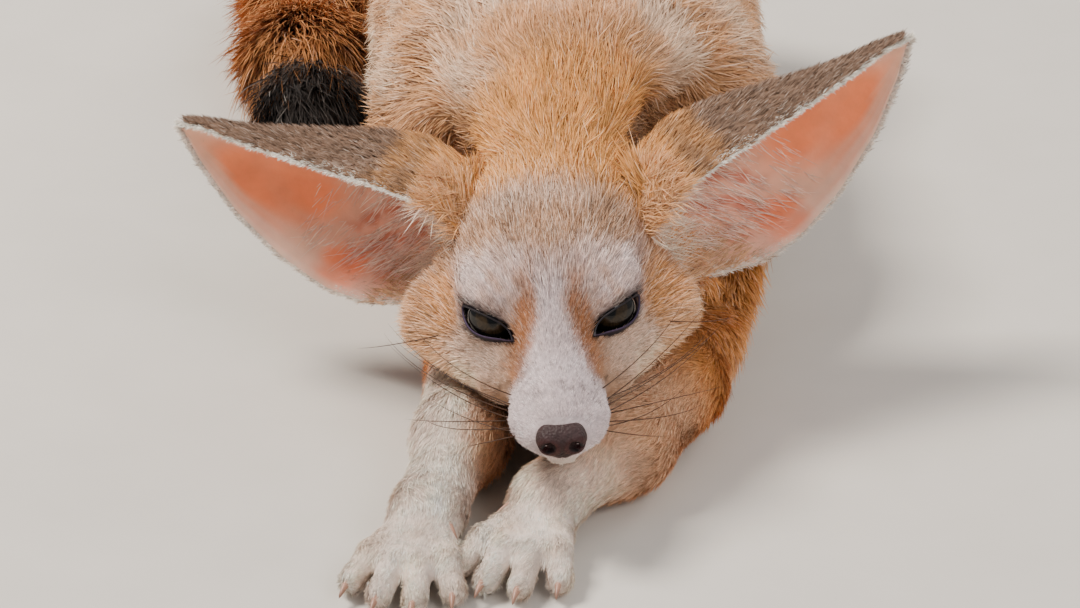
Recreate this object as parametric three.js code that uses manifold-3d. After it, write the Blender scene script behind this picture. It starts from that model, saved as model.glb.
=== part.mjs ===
// Fennec fox lying on its belly, forelegs stretched out and crossed, head low, ears spread sideways.
// Millimetres, +Z up. The fox faces -Y and its left side is +X.
// Flesh is described by bones: rounded bars that melt into each other. A body region is the skin round
// its bones, meshed on a grid of its own fineness, and then parted from its neighbours by thin cuts.
import * as THREE from "three";
import { mergeVertices } from "three/addons/utils/BufferGeometryUtils.js";
import Module from "manifold-3d";

const wasm = await Module();
wasm.setup();

const v = (x, y, z) => new THREE.Vector3(x, y, z);
const round = (r) => v(r, r, r);
const radians = THREE.MathUtils.degToRad;

// Driving dimensions
const GAP = 0.3; // between pieces that touch
const MIDDLE = v(1, 188.4, 0); // middle of the outline on the floor, which becomes the origin
const NOSE_TIP = v(5.6, 22, 34);
const HEAD_PITCH = radians(10); // nose lower than nape
const HEAD_ROLL = radians(-3); // left side raised
const HEAD_YAW = radians(2.4); // nose turned to the left
const EYE_CENTRE = v(15.2, 43.8, 9.2); // in the head's own frame, left side
const EYE_RADIUS = 7;
const EYE_FORWARD = v(0.42, -0.8, 0.42).normalize();
const LID_THICKNESS = 1.2;
const EAR_THICKNESS = 2.2;
const EAR_TILT = radians(50); // how far the back of each ear is turned upwards
const CLAW_LENGTH = 6.5;
const PAW_WIDTH = 0.94;

// Head frame: origin at the nose tip, X to the fox's left, Y back to the nape, Z up
const headPlace = new THREE.Matrix4()
  .makeTranslation(NOSE_TIP.x, NOSE_TIP.y, NOSE_TIP.z)
  .multiply(new THREE.Matrix4().makeRotationZ(HEAD_YAW))
  .multiply(new THREE.Matrix4().makeRotationY(HEAD_ROLL))
  .multiply(new THREE.Matrix4().makeRotationX(HEAD_PITCH));
const headInverse = headPlace.clone().invert();
const fromHead = (p) => p.clone().applyMatrix4(headPlace);
const mirrored = (p) => v(-p.x, p.y, p.z);

// A bone from a to b. Its half thickness along X, Y and Z changes from one end to the other, and melt
// is the size of the fillet where it joins the bones before it.
const bone = (a, ra, b, rb, melt) => ({ a, ra, b, rb, melt });
const lump = (a, ra, melt) => bone(a, ra, a, ra, melt);

function boneDistance(p, { a, ra, b, rb }) {
  const [ux, uy, uz] = [b.x - a.x, b.y - a.y, b.z - a.z];
  const length2 = ux * ux + uy * uy + uz * uz;
  const along = length2 ? ((p.x - a.x) * ux + (p.y - a.y) * uy + (p.z - a.z) * uz) / length2 : 0;
  const t = Math.min(1, Math.max(0, along));
  const [dx, dy, dz] = [p.x - a.x - t * ux, p.y - a.y - t * uy, p.z - a.z - t * uz];
  const [rx, ry, rz] = [ra.x + t * (rb.x - ra.x), ra.y + t * (rb.y - ra.y), ra.z + t * (rb.z - ra.z)];
  const k0 = Math.hypot(dx / rx, dy / ry, dz / rz);
  const k1 = Math.hypot(dx / (rx * rx), dy / (ry * ry), dz / (rz * rz));
  return k1 < 1e-9 ? -Math.min(rx, ry, rz) : (k0 * (k0 - 1)) / k1;
}

function melted(a, b, melt) {
  const h = Math.max(melt - Math.abs(a - b), 0) / melt;
  return Math.min(a, b) - (h * h * melt) / 4;
}

const fieldOf = (bones) => (p) => bones.reduce((d, one) => melted(d, boneDistance(p, one), one.melt), 1e3);

// A chain of round bones through [point, radius] pairs
const chain = (stops, melt) =>
  stops.slice(1).map(([b, rb], i) => bone(stops[i][0], round(stops[i][1]), b, round(rb), melt));

const bothSides = (bones) =>
  bones.flatMap((one) => [one, { ...one, a: mirrored(one.a), b: mirrored(one.b) }]);

// Closed mesh of the surface where the field is zero, on a grid of the given planes. Each grid cell that
// the surface crosses holds one vertex, and place carries the grid's own frame into the fox's frame.
function skin(field, [xs, ys, zs], place = (p) => p) {
  const size = [xs.length, ys.length, zs.length];
  const planes = [xs, ys, zs];
  const index = (c) => c[0] + size[0] * (c[1] + size[1] * c[2]);
  const value = new Float64Array(size[0] * size[1] * size[2]);
  const c = [0, 0, 0];
  for (c[2] = 0; c[2] < size[2]; c[2]++)
    for (c[1] = 0; c[1] < size[1]; c[1]++)
      for (c[0] = 0; c[0] < size[0]; c[0]++) {
        const onEdge = c.some((n, axis) => n === 0 || n === size[axis] - 1);
        const here = field(place(v(xs[c[0]], ys[c[1]], zs[c[2]])));
        value[index(c)] = onEdge ? Math.max(here, 1) : here;
      }
  const vertices = [];
  const vertexOf = new Map();
  const vertex = (cell) => {
    const key = index(cell);
    if (vertexOf.has(key)) return vertexOf.get(key);
    const sum = [0, 0, 0];
    let crossings = 0;
    for (let axis = 0; axis < 3; axis++)
      for (let side = 0; side < 4; side++) {
        const from = [...cell];
        from[(axis + 1) % 3] += side & 1;
        from[(axis + 2) % 3] += side >> 1;
        const to = [...from];
        to[axis]++;
        const [f0, f1] = [value[index(from)], value[index(to)]];
        if (f0 < 0 === f1 < 0) continue;
        const t = f0 / (f0 - f1);
        for (let k = 0; k < 3; k++)
          sum[k] += planes[k][from[k]] + (k === axis ? t * (planes[k][to[k]] - planes[k][from[k]]) : 0);
        crossings++;
      }
    const p = place(v(...sum.map((s) => s / crossings)));
    vertexOf.set(key, vertices.length / 3);
    vertices.push(p.x, p.y, p.z);
    return vertexOf.get(key);
  };
  const triangles = [];
  const gapBetween = (m, n) => Math.hypot(...[0, 1, 2].map((k) => vertices[3 * m + k] - vertices[3 * n + k]));
  for (let axis = 0; axis < 3; axis++) {
    const [next, last] = [(axis + 1) % 3, (axis + 2) % 3];
    for (c[2] = 0; c[2] < size[2]; c[2]++)
      for (c[1] = 0; c[1] < size[1]; c[1]++)
        for (c[0] = 0; c[0] < size[0]; c[0]++) {
          if (c[axis] === size[axis] - 1 || c[next] === 0 || c[last] === 0) continue;
          const beyond = [...c];
          beyond[axis]++;
          const [f0, f1] = [value[index(c)], value[index(beyond)]];
          if (f0 < 0 === f1 < 0) continue;
          const ring = [[1, 1], [0, 1], [0, 0], [1, 0]].map(([m, n]) => {
            const cell = [...c];
            cell[next] -= m;
            cell[last] -= n;
            return vertex(cell);
          });
          if (f0 >= 0) ring.reverse();
          const [p, q, r, s] = ring;
          if (gapBetween(p, r) < gapBetween(q, s)) triangles.push(p, q, r, p, r, s);
          else triangles.push(q, r, s, q, s, p);
        }
  }
  return new wasm.Manifold(
    new wasm.Mesh({
      numProp: 3,
      vertProperties: new Float32Array(vertices),
      triVerts: new Uint32Array(triangles),
    }),
  );
}

// Grid planes from low to high, where step(position) gives the spacing
function planes(low, high, step) {
  const out = [low];
  while (out.at(-1) < high) out.push(out.at(-1) + step(out.at(-1)));
  return out;
}

const even = (step) => () => step;

// A closed three.js geometry as a solid
function solid(geometry, matrix = new THREE.Matrix4()) {
  const bare = geometry.clone().applyMatrix4(matrix);
  bare.deleteAttribute("normal");
  bare.deleteAttribute("uv");
  const merged = mergeVertices(bare, 1e-4);
  const triVerts = new Uint32Array(merged.index.array);
  if (matrix.determinant() < 0) triVerts.reverse();
  return new wasm.Manifold(
    new wasm.Mesh({
      numProp: 3,
      vertProperties: new Float32Array(merged.attributes.position.array),
      triVerts,
    }),
  );
}

// Everything on the side of a plane that its normal points to, moved along the normal by shift
const BIG = 1000;
function half(point, normal, shift = 0) {
  const n = normal.clone().normalize();
  const turn = new THREE.Quaternion().setFromUnitVectors(v(0, 0, 1), n);
  const centre = point.clone().addScaledVector(n, shift + BIG / 2);
  return solid(new THREE.BoxGeometry(BIG, BIG, BIG), new THREE.Matrix4().compose(centre, turn, v(1, 1, 1)));
}

// A cutting ellipsoid, grown on every side by more
function oval(centre, radii, more = 0) {
  const place = new THREE.Matrix4().compose(centre, new THREE.Quaternion(), radii.clone().addScalar(more));
  return solid(new THREE.SphereGeometry(1, 12, 6), place);
}

const minus = (body, ...cutters) => cutters.reduce((rest, cutter) => rest.subtract(cutter), body);
const within = (body, ...keepers) => keepers.reduce((rest, keeper) => rest.intersect(keeper), body);
const joined = (pieces) => pieces.reduce((all, one) => all.add(one));
const largest = (body) => body.decompose().sort((m, n) => n.volume() - m.volume())[0];

const floor = half(v(0, 0, 0), v(0, 0, -1));

// A closed tube through [centre, half width, half height] stations, pinched to a point at its tip.
// side and up are the directions of width and height.
function tapered(stations, side, up, sides) {
  const ring = ([centre, width, height]) =>
    Array.from({ length: sides }, (_, i) => {
      const turn = (2 * Math.PI * (i + 0.25)) / sides;
      return centre
        .clone()
        .addScaledVector(side, width * Math.cos(turn))
        .addScaledVector(up, height * Math.sin(turn));
    });
  const body = stations.slice(0, -1).map(ring);
  const points = [stations[0][0], ...body.flat(), stations.at(-1)[0]];
  const tip = points.length - 1;
  const triangles = [];
  for (let i = 0; i < sides; i++) {
    const j = (i + 1) % sides;
    triangles.push(0, 1 + j, 1 + i);
    for (let k = 0; k + 1 < body.length; k++) {
      const [low, high] = [1 + k * sides, 1 + (k + 1) * sides];
      triangles.push(low + i, low + j, high + j, low + i, high + j, high + i);
    }
    const last = 1 + (body.length - 1) * sides;
    triangles.push(last + i, last + j, tip);
  }
  const made = new wasm.Manifold(
    new wasm.Mesh({
      numProp: 3,
      vertProperties: new Float32Array(points.flatMap((p) => [p.x, p.y, p.z])),
      triVerts: new Uint32Array(triangles),
    }),
  );
  return made;
}

// Bones of the trunk, in the fox's frame
const trunkBones = [
  bone(v(12, 160, 50), v(44, 38, 51), v(10, 182, 48), v(54, 40, 50), 20),
  bone(v(10, 182, 48), v(54, 40, 50), v(9, 228, 45), v(51, 40, 47), 20),
  bone(v(9, 228, 45), v(51, 40, 47), v(7, 302, 45), v(50, 42, 48), 20),
];
const neckBones = [bone(v(5, 99, 47), v(25, 20, 29), v(10, 144, 60), v(36, 30, 43), 12)];
const SHOULDER = {
  left: [bone(v(46, 153, 42), v(22, 26, 32), v(38, 112, 18), v(18, 22, 19), 10)],
  right: [bone(v(-20, 153, 44), v(22, 26, 32), v(-13, 114, 18), v(17, 20, 19), 10)],
};
const HAUNCH = {
  left: [bone(v(42, 300, 46), v(22, 34, 36), v(46, 272, 34), v(20, 34, 32), 12)],
  right: [bone(v(-26, 300, 46), v(22, 34, 36), v(-31, 272, 34), v(20, 34, 32), 12)],
};
const tailRootBones = chain([[v(6, 318, 48), 24], [v(4, 346, 36), 15], [v(-8, 364, 24), 14]], 14);

// Bones of the head, in the head's frame
const headBones = [
  lump(v(0, 60, 7), v(26, 26, 20), 8),
  lump(v(0, 80, 6), v(25, 18, 18), 10),
  ...bothSides([bone(v(21, 63, -5), v(18.5, 20, 12.5), v(12, 38, -3), v(10, 12, 8), 8)]),
  bone(v(0, 40, 2), v(13, 12, 10), v(0, 7, -1.2), v(7.6, 7, 7.2), 8),
  bone(v(0, 48, 12), v(10, 9, 7.5), v(0, 9, 1.5), v(4.8, 6, 4.6), 6),
  ...bothSides([lump(v(6.2, 16, -3), v(7.2, 11, 6.2), 5)]),
  ...bothSides([lump(v(13.5, 49, 13.5), v(9, 8, 6), 6)]),
  bone(v(0, 50, -7), v(20, 18, 13), v(0, 80, -10), v(27, 20, 16), 12),
  ...bothSides([lump(EYE_CENTRE, round(EYE_RADIUS + LID_THICKNESS), 2.5)]),
];
const jawBones = [
  bone(v(0, 10, -8.6), v(5.4, 5.5, 3.8), v(0, 38, -8), v(13, 12, 7), 5),
];

const trunkField = fieldOf([
  ...trunkBones,
  ...neckBones,
  ...SHOULDER.left,
  ...SHOULDER.right,
  ...HAUNCH.left,
  ...HAUNCH.right,
  ...tailRootBones,
]);
const headField = fieldOf(headBones);
const jawField = fieldOf(jawBones);
const inHead = (field) => (p) => field(p.clone().applyMatrix4(headInverse));
const bodyField = (p) => melted(trunkField(p), inHead(headField)(p), 14);

// Cuts between the regions
const NECK_TO_HEAD = { point: fromHead(v(0, 84, 0)), normal: v(0, 1, 0.1) };
const NECK_TO_TORSO = { point: v(10, 128, 60), normal: v(0, 1, 0.55) };
const TORSO_TO_TAIL = { point: v(5, 345, 40), normal: v(-0.25, 1, -0.5) };
const before = (cut, gap = 0) => half(cut.point, cut.normal.clone().negate(), gap);
const after = (cut, gap = 0) => half(cut.point, cut.normal, gap);

// Limbs. Each foreleg is a chain from elbow to wrist with a paw of toes, and each hind leg a shank
// folded over a long foot.
const FORELEG = {
  left: {
    elbow: v(35, 92, 16),
    mid: v(21, 60, 15),
    wrist: v(2.5, 37, 11),
    pawAim: v(-0.35, -1, 0),
    flesh: 1.1,
  },
  right: {
    elbow: v(-17, 100, 15.5),
    mid: v(-20.5, 64, 14),
    wrist: v(-28.5, 31, 11),
    pawAim: v(-0.22, -1, 0),
    flesh: 0.96,
  },
};
const HINDLEG = {
  left: { knee: v(52, 262, 24), hock: v(46, 334, 12), footAim: v(0.1, -1, 0) },
  right: { knee: v(-36, 262, 24), hock: v(-30, 334, 12), footAim: v(-0.06, -1, 0) },
};

// Toe places across a paw: sideways offset, reach, and splay, in the paw's own frame
const TOES = [
  { across: -10.2, reach: 33, splay: -0.3 },
  { across: -3.6, reach: 39, splay: -0.1 },
  { across: 3.6, reach: 39, splay: 0.1 },
  { across: 10.2, reach: 33, splay: 0.3 },
];

// A paw's frame: Y runs from the toes back to the wrist, like the fox's own
function pawFrame(joint, aim) {
  const back = aim.clone().normalize().negate();
  const side = v(0, 0, 1).cross(back).negate();
  return new THREE.Matrix4().makeBasis(side, back, v(0, 0, 1)).setPosition(joint.x, joint.y, 0);
}

function pawBones(width, length, height) {
  const palm = bone(v(0, 0, height), v(9.5, 10, height * 0.95), v(0, -length, 7), v(11.5 * width, 8, 7), 5);
  const toes = TOES.flatMap(({ across, reach, splay }) => {
    const start = v(across * width * 0.8, -length + 4, 8);
    const knuckle = v(across * width, -length - (reach - 30) * 0.5 - 2, 8.4);
    const end = v(across * width + splay * 12, -length - reach + 22, 4.6);
    return [
      bone(start, v(4.2, 4.2, 4.2), knuckle, v(4.1, 4.4, 4.4), 3),
      bone(knuckle, v(4.1, 4.4, 4.4), end, v(3.9, 4.4, 4.4), 2),
    ];
  });
  return [palm, ...toes];
}

function clawsOf(width, length, place) {
  return TOES.map(({ across, reach, splay }) => {
    const root = v(across * width + splay * 12, -length - reach + 20.5, 6.4);
    const aim = v(splay * 0.7, -1, 0.1).normalize();
    const stations = [0, 0.45, 0.8, 1].map((t) => {
      const centre = root.clone().addScaledVector(aim, CLAW_LENGTH * t).add(v(0, 0, -3 * t * t));
      return [centre.applyMatrix4(place), 1.4 * (1 - 0.7 * t), 1.7 * (1 - 0.7 * t)];
    });
    const side = v(1, 0, 0).transformDirection(place);
    return tapered(stations, side, v(0, 0, 1), 5);
  });
}

// The small claw on the inner side of a wrist, where side is 1 on the left paw
function dewclaw(side, place) {
  const stations = [0, 0.5, 1].map((t) => {
    const centre = v(-side * (7.5 + 2.2 * t), -9 - 5.5 * t, 13.5 - 2.5 * t * t);
    return [centre.applyMatrix4(place), 1.3 * (1 - 0.7 * t), 1.6 * (1 - 0.7 * t)];
  });
  return tapered(stations, v(1, 0, 0).transformDirection(place), v(0, 0, 1), 5);
}

// Box of grid planes round a set of points, with room to spare
function gridRound(points, room, step) {
  const box = new THREE.Box3().setFromPoints(points).expandByScalar(room);
  return ["x", "y", "z"].map((axis) => planes(box.min[axis], box.max[axis], even(step)));
}

// Materials
const material = (color, roughness) => new THREE.MeshStandardMaterial({ color, roughness, metalness: 0 });
const MATERIALS = {
  sandFur: material(0xcf9a66, 0.9),
  paleFur: material(0xe6d5c3, 0.9),
  tailFur: material(0xb98150, 0.9),
  blackFur: material(0x2a2320, 0.85),
  earSkin: material(0xdba58c, 0.75),
  eye: material(0x1c1712, 0.08),
  noseSkin: material(0x45302f, 0.45),
};

const root = new THREE.Group();
const fox = new THREE.Group();
fox.position.copy(MIDDLE).negate();
root.add(fox);

function addNode(name, body, look) {
  const mesh = largest(body).getMesh();
  const points = new Float32Array(mesh.numVert * 3);
  for (let i = 0; i < mesh.numVert; i++)
    points.set(mesh.vertProperties.subarray(i * mesh.numProp, i * mesh.numProp + 3), i * 3);
  const geometry = new THREE.BufferGeometry();
  geometry.setAttribute("position", new THREE.BufferAttribute(points, 3));
  geometry.setIndex(new THREE.BufferAttribute(mesh.triVerts, 1));
  geometry.computeVertexNormals();
  const made = new THREE.Mesh(geometry, look);
  made.name = name;
  fox.add(made);
}

const SIDES = { left: 1, right: -1 };

// Forelegs
const forelegs = {};
for (const [name, leg] of Object.entries(FORELEG)) {
  const { elbow, mid, wrist, flesh } = leg;
  const place = pawFrame(wrist, leg.pawAim);
  const toPaw = place.clone().invert();
  const armField = fieldOf(chain([[elbow, 15 * flesh], [mid, 13 * flesh], [wrist, 9.5]], 8));
  const pawField = fieldOf(pawBones(PAW_WIDTH, 18, 10));
  const legField = (p) => melted(armField(p), pawField(p.clone().applyMatrix4(toPaw)), 6);
  const reach = 18 * flesh;
  const arm = skin(legField, gridRound([elbow, mid, wrist], reach + 7, 7.5));
  const pawStep = (y) => (y < -12 ? 3.5 : 7);
  const pawGrid = [planes(-23, 23, even(3.5)), planes(-48, 27, pawStep), planes(-6, 29, even(4))];
  const toFox = (p) => p.applyMatrix4(place);
  const paw = skin(legField, pawGrid, toFox);
  const cut = { point: v(0, 6, 0).applyMatrix4(place), normal: leg.pawAim.clone().negate() };
  const claws = joined([...clawsOf(PAW_WIDTH, 18, place), dewclaw(SIDES[name], place)]);
  forelegs[name] = {
    forearm: minus(within(arm, after(cut, GAP)), floor),
    paw: minus(within(joined([paw, claws]), before(cut)), floor),
    pawGrown: skin((p) => legField(p) - 2 * GAP, pawGrid, toFox),
  };
}
forelegs.left.paw = minus(forelegs.left.paw, forelegs.right.pawGrown);

// Hind legs
const hindlegs = {};
for (const [name, leg] of Object.entries(HINDLEG)) {
  const { knee, hock } = leg;
  const place = pawFrame(v(hock.x, hock.y, 0), leg.footAim);
  const toFoot = place.clone().invert();
  const foot = fieldOf([
    bone(v(0, 0, 9), v(7.5, 8, 9), v(0, -52, 7.5), v(8.5, 8, 7.5), 5),
    ...pawBones(0.82, 62, 7.5).slice(1),
  ]);
  const footField = (p) => foot(p.clone().applyMatrix4(toFoot));
  const shankField = fieldOf(chain([[knee, 13], [hock, 9.5]], 6));
  const footLengths = planes(-96, 22, (y) => (y < -60 ? 4 : 10));
  const footGrid = [planes(-19, 19, even(3.8)), footLengths, planes(-7, 27, even(4.5))];
  const toFox = (p) => p.applyMatrix4(place);
  const shankGrid = gridRound([knee, hock], 22, 8);
  hindlegs[name] = {
    foot: joined([skin(footField, footGrid, toFox), ...clawsOf(0.82, 62, place)]),
    shank: skin(shankField, shankGrid),
    shankGrown: skin((p) => shankField(p) - GAP, shankGrid),
  };
}

// Head, with lids round the eyes, the nose pad let into the muzzle and the jaw below the lips
const faceStep = (fine, coarse, near) => (at) => (near(at) ? fine : coarse);
const headGrid = [
  planes(-46, 46, faceStep(3.2, 6, (x) => Math.abs(x) < 25)),
  planes(-10, 112, faceStep(3.3, 8, (y) => y < 54)),
  planes(-34, 38, faceStep(3, 6, (z) => z > -12 && z < 20)),
];
const headSkin = (field, grow = 0) => skin((p) => field(p) - grow, headGrid, fromHead);
const neckField = fieldOf(neckBones);
const headRegion = (p) => melted(inHead(headField)(p), neckField(p), 14);
const headWhole = headSkin(headRegion);
const headGrown = headSkin(headRegion, GAP);
const roughGrid = [planes(-50, 50, even(8)), planes(-12, 116, even(8)), planes(-38, 42, even(8))];
const headRough = skin((p) => headRegion(p) - 4 * GAP, roughGrid, fromHead);
// Ears: a leaf rolled into a trough along a line from base to tip. Station s runs from root to tip.
// Upper and lower are the distances of the two rims from that line, depth is how far the back bulges,
// and curl is how far the upper side swells out over its rim.
const EAR_SECTION = [
  { s: -0.14, upper: 16, lower: 12, depth: 18, curl: 6 },
  { s: 0, upper: 21, lower: 17, depth: 25, curl: 10 },
  { s: 0.2, upper: 18, lower: 28, depth: 30, curl: 14 },
  { s: 0.36, upper: 14.5, lower: 31, depth: 28, curl: 13 },
  { s: 0.55, upper: 10.5, lower: 28.5, depth: 20.5, curl: 9 },
  { s: 0.76, upper: 6.5, lower: 20.5, depth: 11.5, curl: 4 },
  { s: 0.92, upper: 4.5, lower: 9.5, depth: 5, curl: 1 },
  { s: 1, upper: 1.4, lower: 1.6, depth: 1, curl: 0 },
];
const EAR = {
  left: { base: v(39.6, 100, 53.7), tip: v(98, 139, 94), rim: 0.85 },
  right: { base: v(-29.6, 100, 47.2), tip: v(-96, 135, 70.5), rim: 1 },
};
const VIEW = v(0, 0.89, -0.455); // the way the open side of both ears faces, seen from inside

function earFrame(name) {
  const { base, tip } = EAR[name];
  const axis = tip.clone().sub(base).normalize();
  const away = VIEW.clone().addScaledVector(axis, -VIEW.dot(axis)).normalize();
  const up = v(0, 0, 0).crossVectors(axis, away).multiplyScalar(SIDES[name]).normalize();
  const [cos, sin] = [Math.cos(EAR_TILT), Math.sin(EAR_TILT)];
  const back = away.clone().multiplyScalar(cos).addScaledVector(up, sin);
  const across = up.clone().multiplyScalar(cos).addScaledVector(away, -sin);
  return { base, length: base.distanceTo(tip), axis, back, across };
}

// Hollow left for an ear in the neck and shoulder behind it
function earRoom(name) {
  const { base, length, axis, back, across } = earFrame(name);
  const middle = base.clone().addScaledVector(back, 10).addScaledVector(across, -6);
  const at = (s) => middle.clone().addScaledVector(axis, length * s);
  const stops = [[at(-0.05), 14], [at(0.2), 28.5], [at(0.7), 26]];
  return skin(fieldOf(chain(stops, 5)), gridRound([at(-0.05), at(0.7)], 30, 9));
}

// Trunk, haunches and shoulders share one skin and are parted by ovals
const trunkGrid = [planes(-78, 98, even(13)), planes(86, 378, even(16)), planes(-14, 126, even(13))];
const earRooms = Object.keys(SIDES).map(earRoom);
const trunkSkin = minus(skin(bodyField, trunkGrid), floor, ...earRooms);
const trunkGrown = skin((p) => bodyField(p) - 2.5 * GAP, trunkGrid);
const THIGH_CUT = {
  left: [v(48, 288, 38), v(26, 47, 46)],
  right: [v(-32, 288, 38), v(26, 47, 46)],
};
const ARM_CUT = {
  left: [v(56, 134, 30), v(32, 38, 46)],
  right: [v(-32, 134, 30), v(28, 38, 46)],
};
const lumpsGrown = Object.keys(SIDES).flatMap((s) => [oval(...THIGH_CUT[s], GAP), oval(...ARM_CUT[s], GAP)]);

const torso = minus(within(trunkSkin, after(NECK_TO_TORSO, GAP), before(TORSO_TO_TAIL)), ...lumpsGrown);
addNode("torso", torso, MATERIALS.sandFur);
for (const side of Object.keys(SIDES)) {
  const { forearm, paw } = forelegs[side];
  const { foot, shank, shankGrown } = hindlegs[side];
  const upperArm = minus(within(trunkSkin, oval(...ARM_CUT[side])), headRough);
  addNode(`upper_arm_${side}`, upperArm, MATERIALS.sandFur);
  addNode(`forearm_${side}`, minus(forearm, trunkGrown, headRough, ...earRooms), MATERIALS.sandFur);
  addNode(`forepaw_${side}`, paw, MATERIALS.paleFur);
  addNode(`thigh_${side}`, within(trunkSkin, oval(...THIGH_CUT[side])), MATERIALS.sandFur);
  addNode(`shank_${side}`, minus(shank, trunkGrown, floor), MATERIALS.sandFur);
  addNode(`hindfoot_${side}`, minus(foot, shankGrown, trunkGrown, floor), MATERIALS.paleFur);
}

// Neck
const neckGrid = [planes(-64, 84, even(10)), planes(60, 170, even(10)), planes(-12, 116, even(10))];
const neckSkin = skin(bodyField, neckGrid);
const neck = minus(
  within(neckSkin, after(NECK_TO_HEAD, GAP), before(NECK_TO_TORSO)),
  floor,
  ...lumpsGrown,
  ...earRooms,
);
addNode("neck", neck, MATERIALS.sandFur);

const nosePad = fieldOf([
  bone(v(-3.2, 2.6, 0.3), v(3.4, 4.4, 3.9), v(3.2, 2.6, 0.3), v(3.4, 4.4, 3.9), 2),
  bone(v(0, 3, -1.5), v(3, 3.6, 4), v(0, 5, -3.5), v(2, 3, 3), 2),
]);
const noseGrid = [planes(-9, 9, even(2.1)), planes(-4, 10, even(2.4)), planes(-8, 7, even(2.1))];
const noseSkin = (grow) => skin((p) => inHead(nosePad)(p) - grow, noseGrid, fromHead);
// A nostril is a round hole in front that draws out into a slit towards the side
const headOval = (centre, radii) => {
  const shape = new THREE.Matrix4().compose(centre, new THREE.Quaternion(), radii);
  return solid(new THREE.SphereGeometry(1, 8, 6), headPlace.clone().multiply(shape));
};
const nostrils = [1, -1].flatMap((side) => [
  headOval(v(side * 3.1, -1.4, 0.6), v(1.5, 2.8, 1.6)),
  headOval(v(side * 5.9, 1, -0.7), v(2.6, 1.8, 0.9)),
]);
addNode("nose", minus(noseSkin(0), ...nostrils), MATERIALS.noseSkin);

// The eye opening: an almond that widens outwards from the middle of the eye
const EYE_OPENING = {
  inner: 11,
  outer: 8.4,
  upper: 2.7,
  lower: 3.6,
  slant: radians(17),
  drop: 0.4,
  flare: 0.05,
};
function eyeOpening(side) {
  const { inner, outer, upper, lower, slant, drop, flare } = EYE_OPENING;
  const almond = new THREE.Shape();
  almond.moveTo(-inner, 0);
  almond.quadraticCurveTo(-inner * 0.25, 2 * upper, outer, 0);
  almond.quadraticCurveTo(outer * 0.2, -2 * lower, -inner, 0);
  const prism = new THREE.ExtrudeGeometry(almond, { depth: 14, bevelEnabled: false, curveSegments: 8 });
  const at = prism.attributes.position;
  for (let i = 0; i < at.count; i++) {
    const scale = 0.62 + flare * at.getZ(i);
    at.setXY(i, at.getX(i) * scale, at.getY(i) * scale - drop);
  }
  const across = v(0, 0, 0).crossVectors(v(0, 0, 1), EYE_FORWARD).normalize();
  const up = v(0, 0, 0).crossVectors(EYE_FORWARD, across);
  const local = new THREE.Matrix4()
    .makeBasis(across, up, EYE_FORWARD)
    .setPosition(EYE_CENTRE)
    .multiply(new THREE.Matrix4().makeRotationZ(slant));
  const flip = new THREE.Matrix4().makeScale(side, 1, 1);
  return solid(prism, headPlace.clone().multiply(flip).multiply(local));
}
const ball = (side, radius, around, down) => {
  const centre = fromHead(v(side * EYE_CENTRE.x, EYE_CENTRE.y, EYE_CENTRE.z));
  return solid(new THREE.SphereGeometry(radius, around, down), new THREE.Matrix4().setPosition(centre));
};
const eyeBall = (side) => ball(side, EYE_RADIUS, 14, 9);
const eyeSocket = (side) => ball(side, EYE_RADIUS + 1.5 * GAP, 14, 10);

const head = minus(
  within(headWhole, before(NECK_TO_HEAD)),
  noseSkin(GAP),
  ...[1, -1].flatMap((side) => [eyeSocket(side), eyeOpening(side)]),
  floor,
);
addNode("head", head, MATERIALS.sandFur);
const jaw = minus(headSkin(inHead(jawField)), headGrown, noseSkin(GAP));
addNode("lower_jaw", jaw, MATERIALS.paleFur);

// Eyes
for (const [name, side] of Object.entries(SIDES)) addNode(`eye_${name}`, eyeBall(side), MATERIALS.eye);

function earSection(s) {
  const next = Math.max(1, EAR_SECTION.findIndex((one) => one.s >= s - 1e-9));
  const [low, high] = [EAR_SECTION[next - 1], EAR_SECTION[next]];
  const t = (s - low.s) / (high.s - low.s);
  return Object.fromEntries(Object.keys(low).map((key) => [key, low[key] + t * (high[key] - low[key])]));
}

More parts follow.
